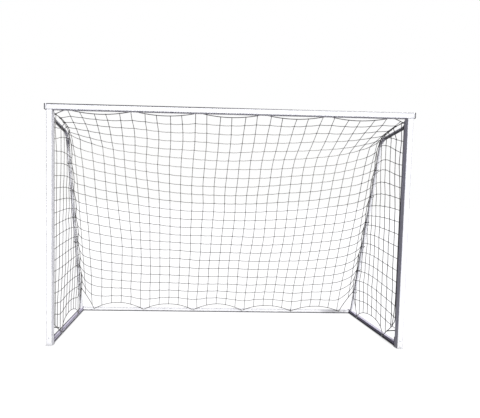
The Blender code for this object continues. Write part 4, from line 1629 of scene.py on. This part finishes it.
@dataclass(frozen=True)
class Studio:
    """Camera, lamps, world and floor. The camera is the one that was fitted to the photograph.

    Attributes:
        width: width of the picture in pixels.
        height: height of the picture.
        place: place of the camera.
        yaw: turn of the camera to its right, in radians.
        pitch: tilt of it upwards, in radians.
        roll: roll of it, in radians as well.
        focal: focal length in pixels.
        centre: where the camera's axis meets the picture.
        suns: the sun lamps.
        sky: strength of the light from above.
        ground: strength of the light from below.
        floor_reach: half the floor's side.
        floor_z: height of the floor, just under what stands on it.
    """

    width: float = 480.0
    height: float = 418.0
    place: Triple = (-0.3666, -3.5644, 1.2990)
    yaw: float = 0.0270
    pitch: float = -0.0490
    roll: float = 0.0196
    focal: float = 361.27
    centre: Pair = (196.69, 214.35)
    suns: tuple[Sun, ...] = (
        Sun("key", (0.23, -0.85, 0.47), 4.0, 10.0), Sun("fill", (0.52, 0.56, 0.64), 1.7, 25.0),
    )
    sky: float = 0.26
    ground: float = 0.012
    floor_reach: float = 60.0
    floor_z: float = -0.0005

    def camera(self) -> None:
        """Sets the camera."""
        flat = math.cos(self.pitch)
        forward = Vector((math.sin(self.yaw) * flat, math.cos(self.yaw) * flat, math.sin(self.pitch)))
        level = Vector((math.cos(self.yaw), -math.sin(self.yaw), 0))
        up = level.cross(forward)
        right = math.cos(self.roll) * level + math.sin(self.roll) * up
        above = -math.sin(self.roll) * level + math.cos(self.roll) * up
        data = bpy.data.cameras.new("camera")
        data.sensor_width = 36.0
        data.lens = self.focal / self.width * data.sensor_width
        data.shift_x = (self.width / 2 - self.centre[0]) / self.width
        data.shift_y = (self.centre[1] - self.height / 2) / self.width
        data.clip_end = 200.0
        camera = link("camera", data)
        turn = Matrix((right, above, -forward)).transposed().to_4x4()
        camera.matrix_world = Matrix.Translation(self.place) @ turn
        bpy.context.scene.camera = camera

    def split(self, g: Graph, unseen: Node, seen: Node, output: str) -> None:
        """Ends a tree with one shader for the camera, gloss and glass, and another for what it lights.

        Args:
            g: the tree's graph.
            unseen: the shader for what it lights.
            seen: the shader for the camera.
            output: the type of the last node.
        """
        path = g.add("LightPath").outputs
        direct = g.math("MAXIMUM", path["Is Camera Ray"], path["Is Glossy Ray"])
        share = g.math("MAXIMUM", direct, path["Is Transmission Ray"])
        shade = g.add("MixShader", {0: share, 1: unseen.outputs[0], 2: seen.outputs[0]})
        g.add(output, {0: shade.outputs[0]})

    def world(self) -> None:
        """White behind the goal, and a dim, cool sky that is darker below for what lights it."""
        world = bpy.data.worlds.new("studio")
        world.use_nodes = True
        world.node_tree.nodes.clear()
        g = Graph(world.node_tree)
        up = g.part(g.add("TexCoord").outputs["Generated"], 2)
        level = g.ramp(up, -0.25, 0.8, self.ground, self.sky)
        dim = g.add("Background", {"Color": (0.82, 0.80, 1.0), "Strength": level})
        white = g.add("Background", {"Color": (1, 1, 1), "Strength": 1.0})
        self.split(g, dim, white, "OutputWorld")
        bpy.context.scene.world = world

    def floor(self) -> None:
        """White floor whose shadow stays faint, with a contact shade under what stands on it."""
        mesh = bpy.data.meshes.new("floor")
        corners = ((-1, -1), (1, -1), (1, 1), (-1, 1))
        reach = self.floor_reach
        mesh.from_pydata([(x * reach, y * reach, self.floor_z) for x, y in corners], [], [(0, 1, 2, 3)])
        floor = link("floor", mesh)
        material, g, _ = start_material("floor_white")
        g.tree.nodes.clear()
        near = g.add("AmbientOcclusion", {"Distance": 0.02}, samples=8).outputs["AO"]
        glow = g.ramp(near, 0.4, 0.95, 0.15, 0.91)
        paper = g.add("BsdfDiffuse", {"Color": (0.18, 0.18, 0.185)})
        white = g.add("Emission", {"Color": (1, 1, 1), "Strength": glow})
        both = g.add("AddShader", {0: paper.outputs[0], 1: white.outputs[0]})
        dull = g.add("BsdfDiffuse", {"Color": (0.15, 0.145, 0.175)})
        self.split(g, dull, both, "OutputMaterial")
        mesh.materials.append(material)

    def build(self) -> None:
        """Builds the studio."""
        self.camera()
        for sun in self.suns:
            sun.build()
        self.world()
        self.floor()
        bpy.context.scene.view_settings.view_transform = "Standard"


def main() -> None:
    """Builds the studio, dresses the frame and hangs the net."""
    logging.basicConfig(level=logging.INFO, format="%(name)s %(message)s")
    Studio().build()
    groups = Groups()
    FrameDress(groups).dress()
    # The ropes' darker greys are painted shade on white rope: a little darker on the edge ropes, darker still
    # on the seam ropes, and darkest on the ties.
    cord, rope, seam, tie = (finish.build(groups) for finish in (
        TwistedCord("net_cord_twisted"),
        TwistedCord("edge_rope_twisted", colour=(0.26, 0.25, 0.235), pitch=0.02),
        TwistedCord("seam_rope_twisted", colour=(0.12, 0.115, 0.11), groove=(0.05, 0.05, 0.045), pitch=0.02),
        TwistedCord("tie_cord_twisted", colour=(0.06, 0.058, 0.055), groove=(0.03, 0.03, 0.028), pitch=0.016),
    ))
    back = BackNet()
    back.build(cord, rope, seam)
    for side in Side:
        SideNet(side, back).build(cord, rope)
        Lacing(side, back).build(tie)


if __name__ == "__main__":
    main()
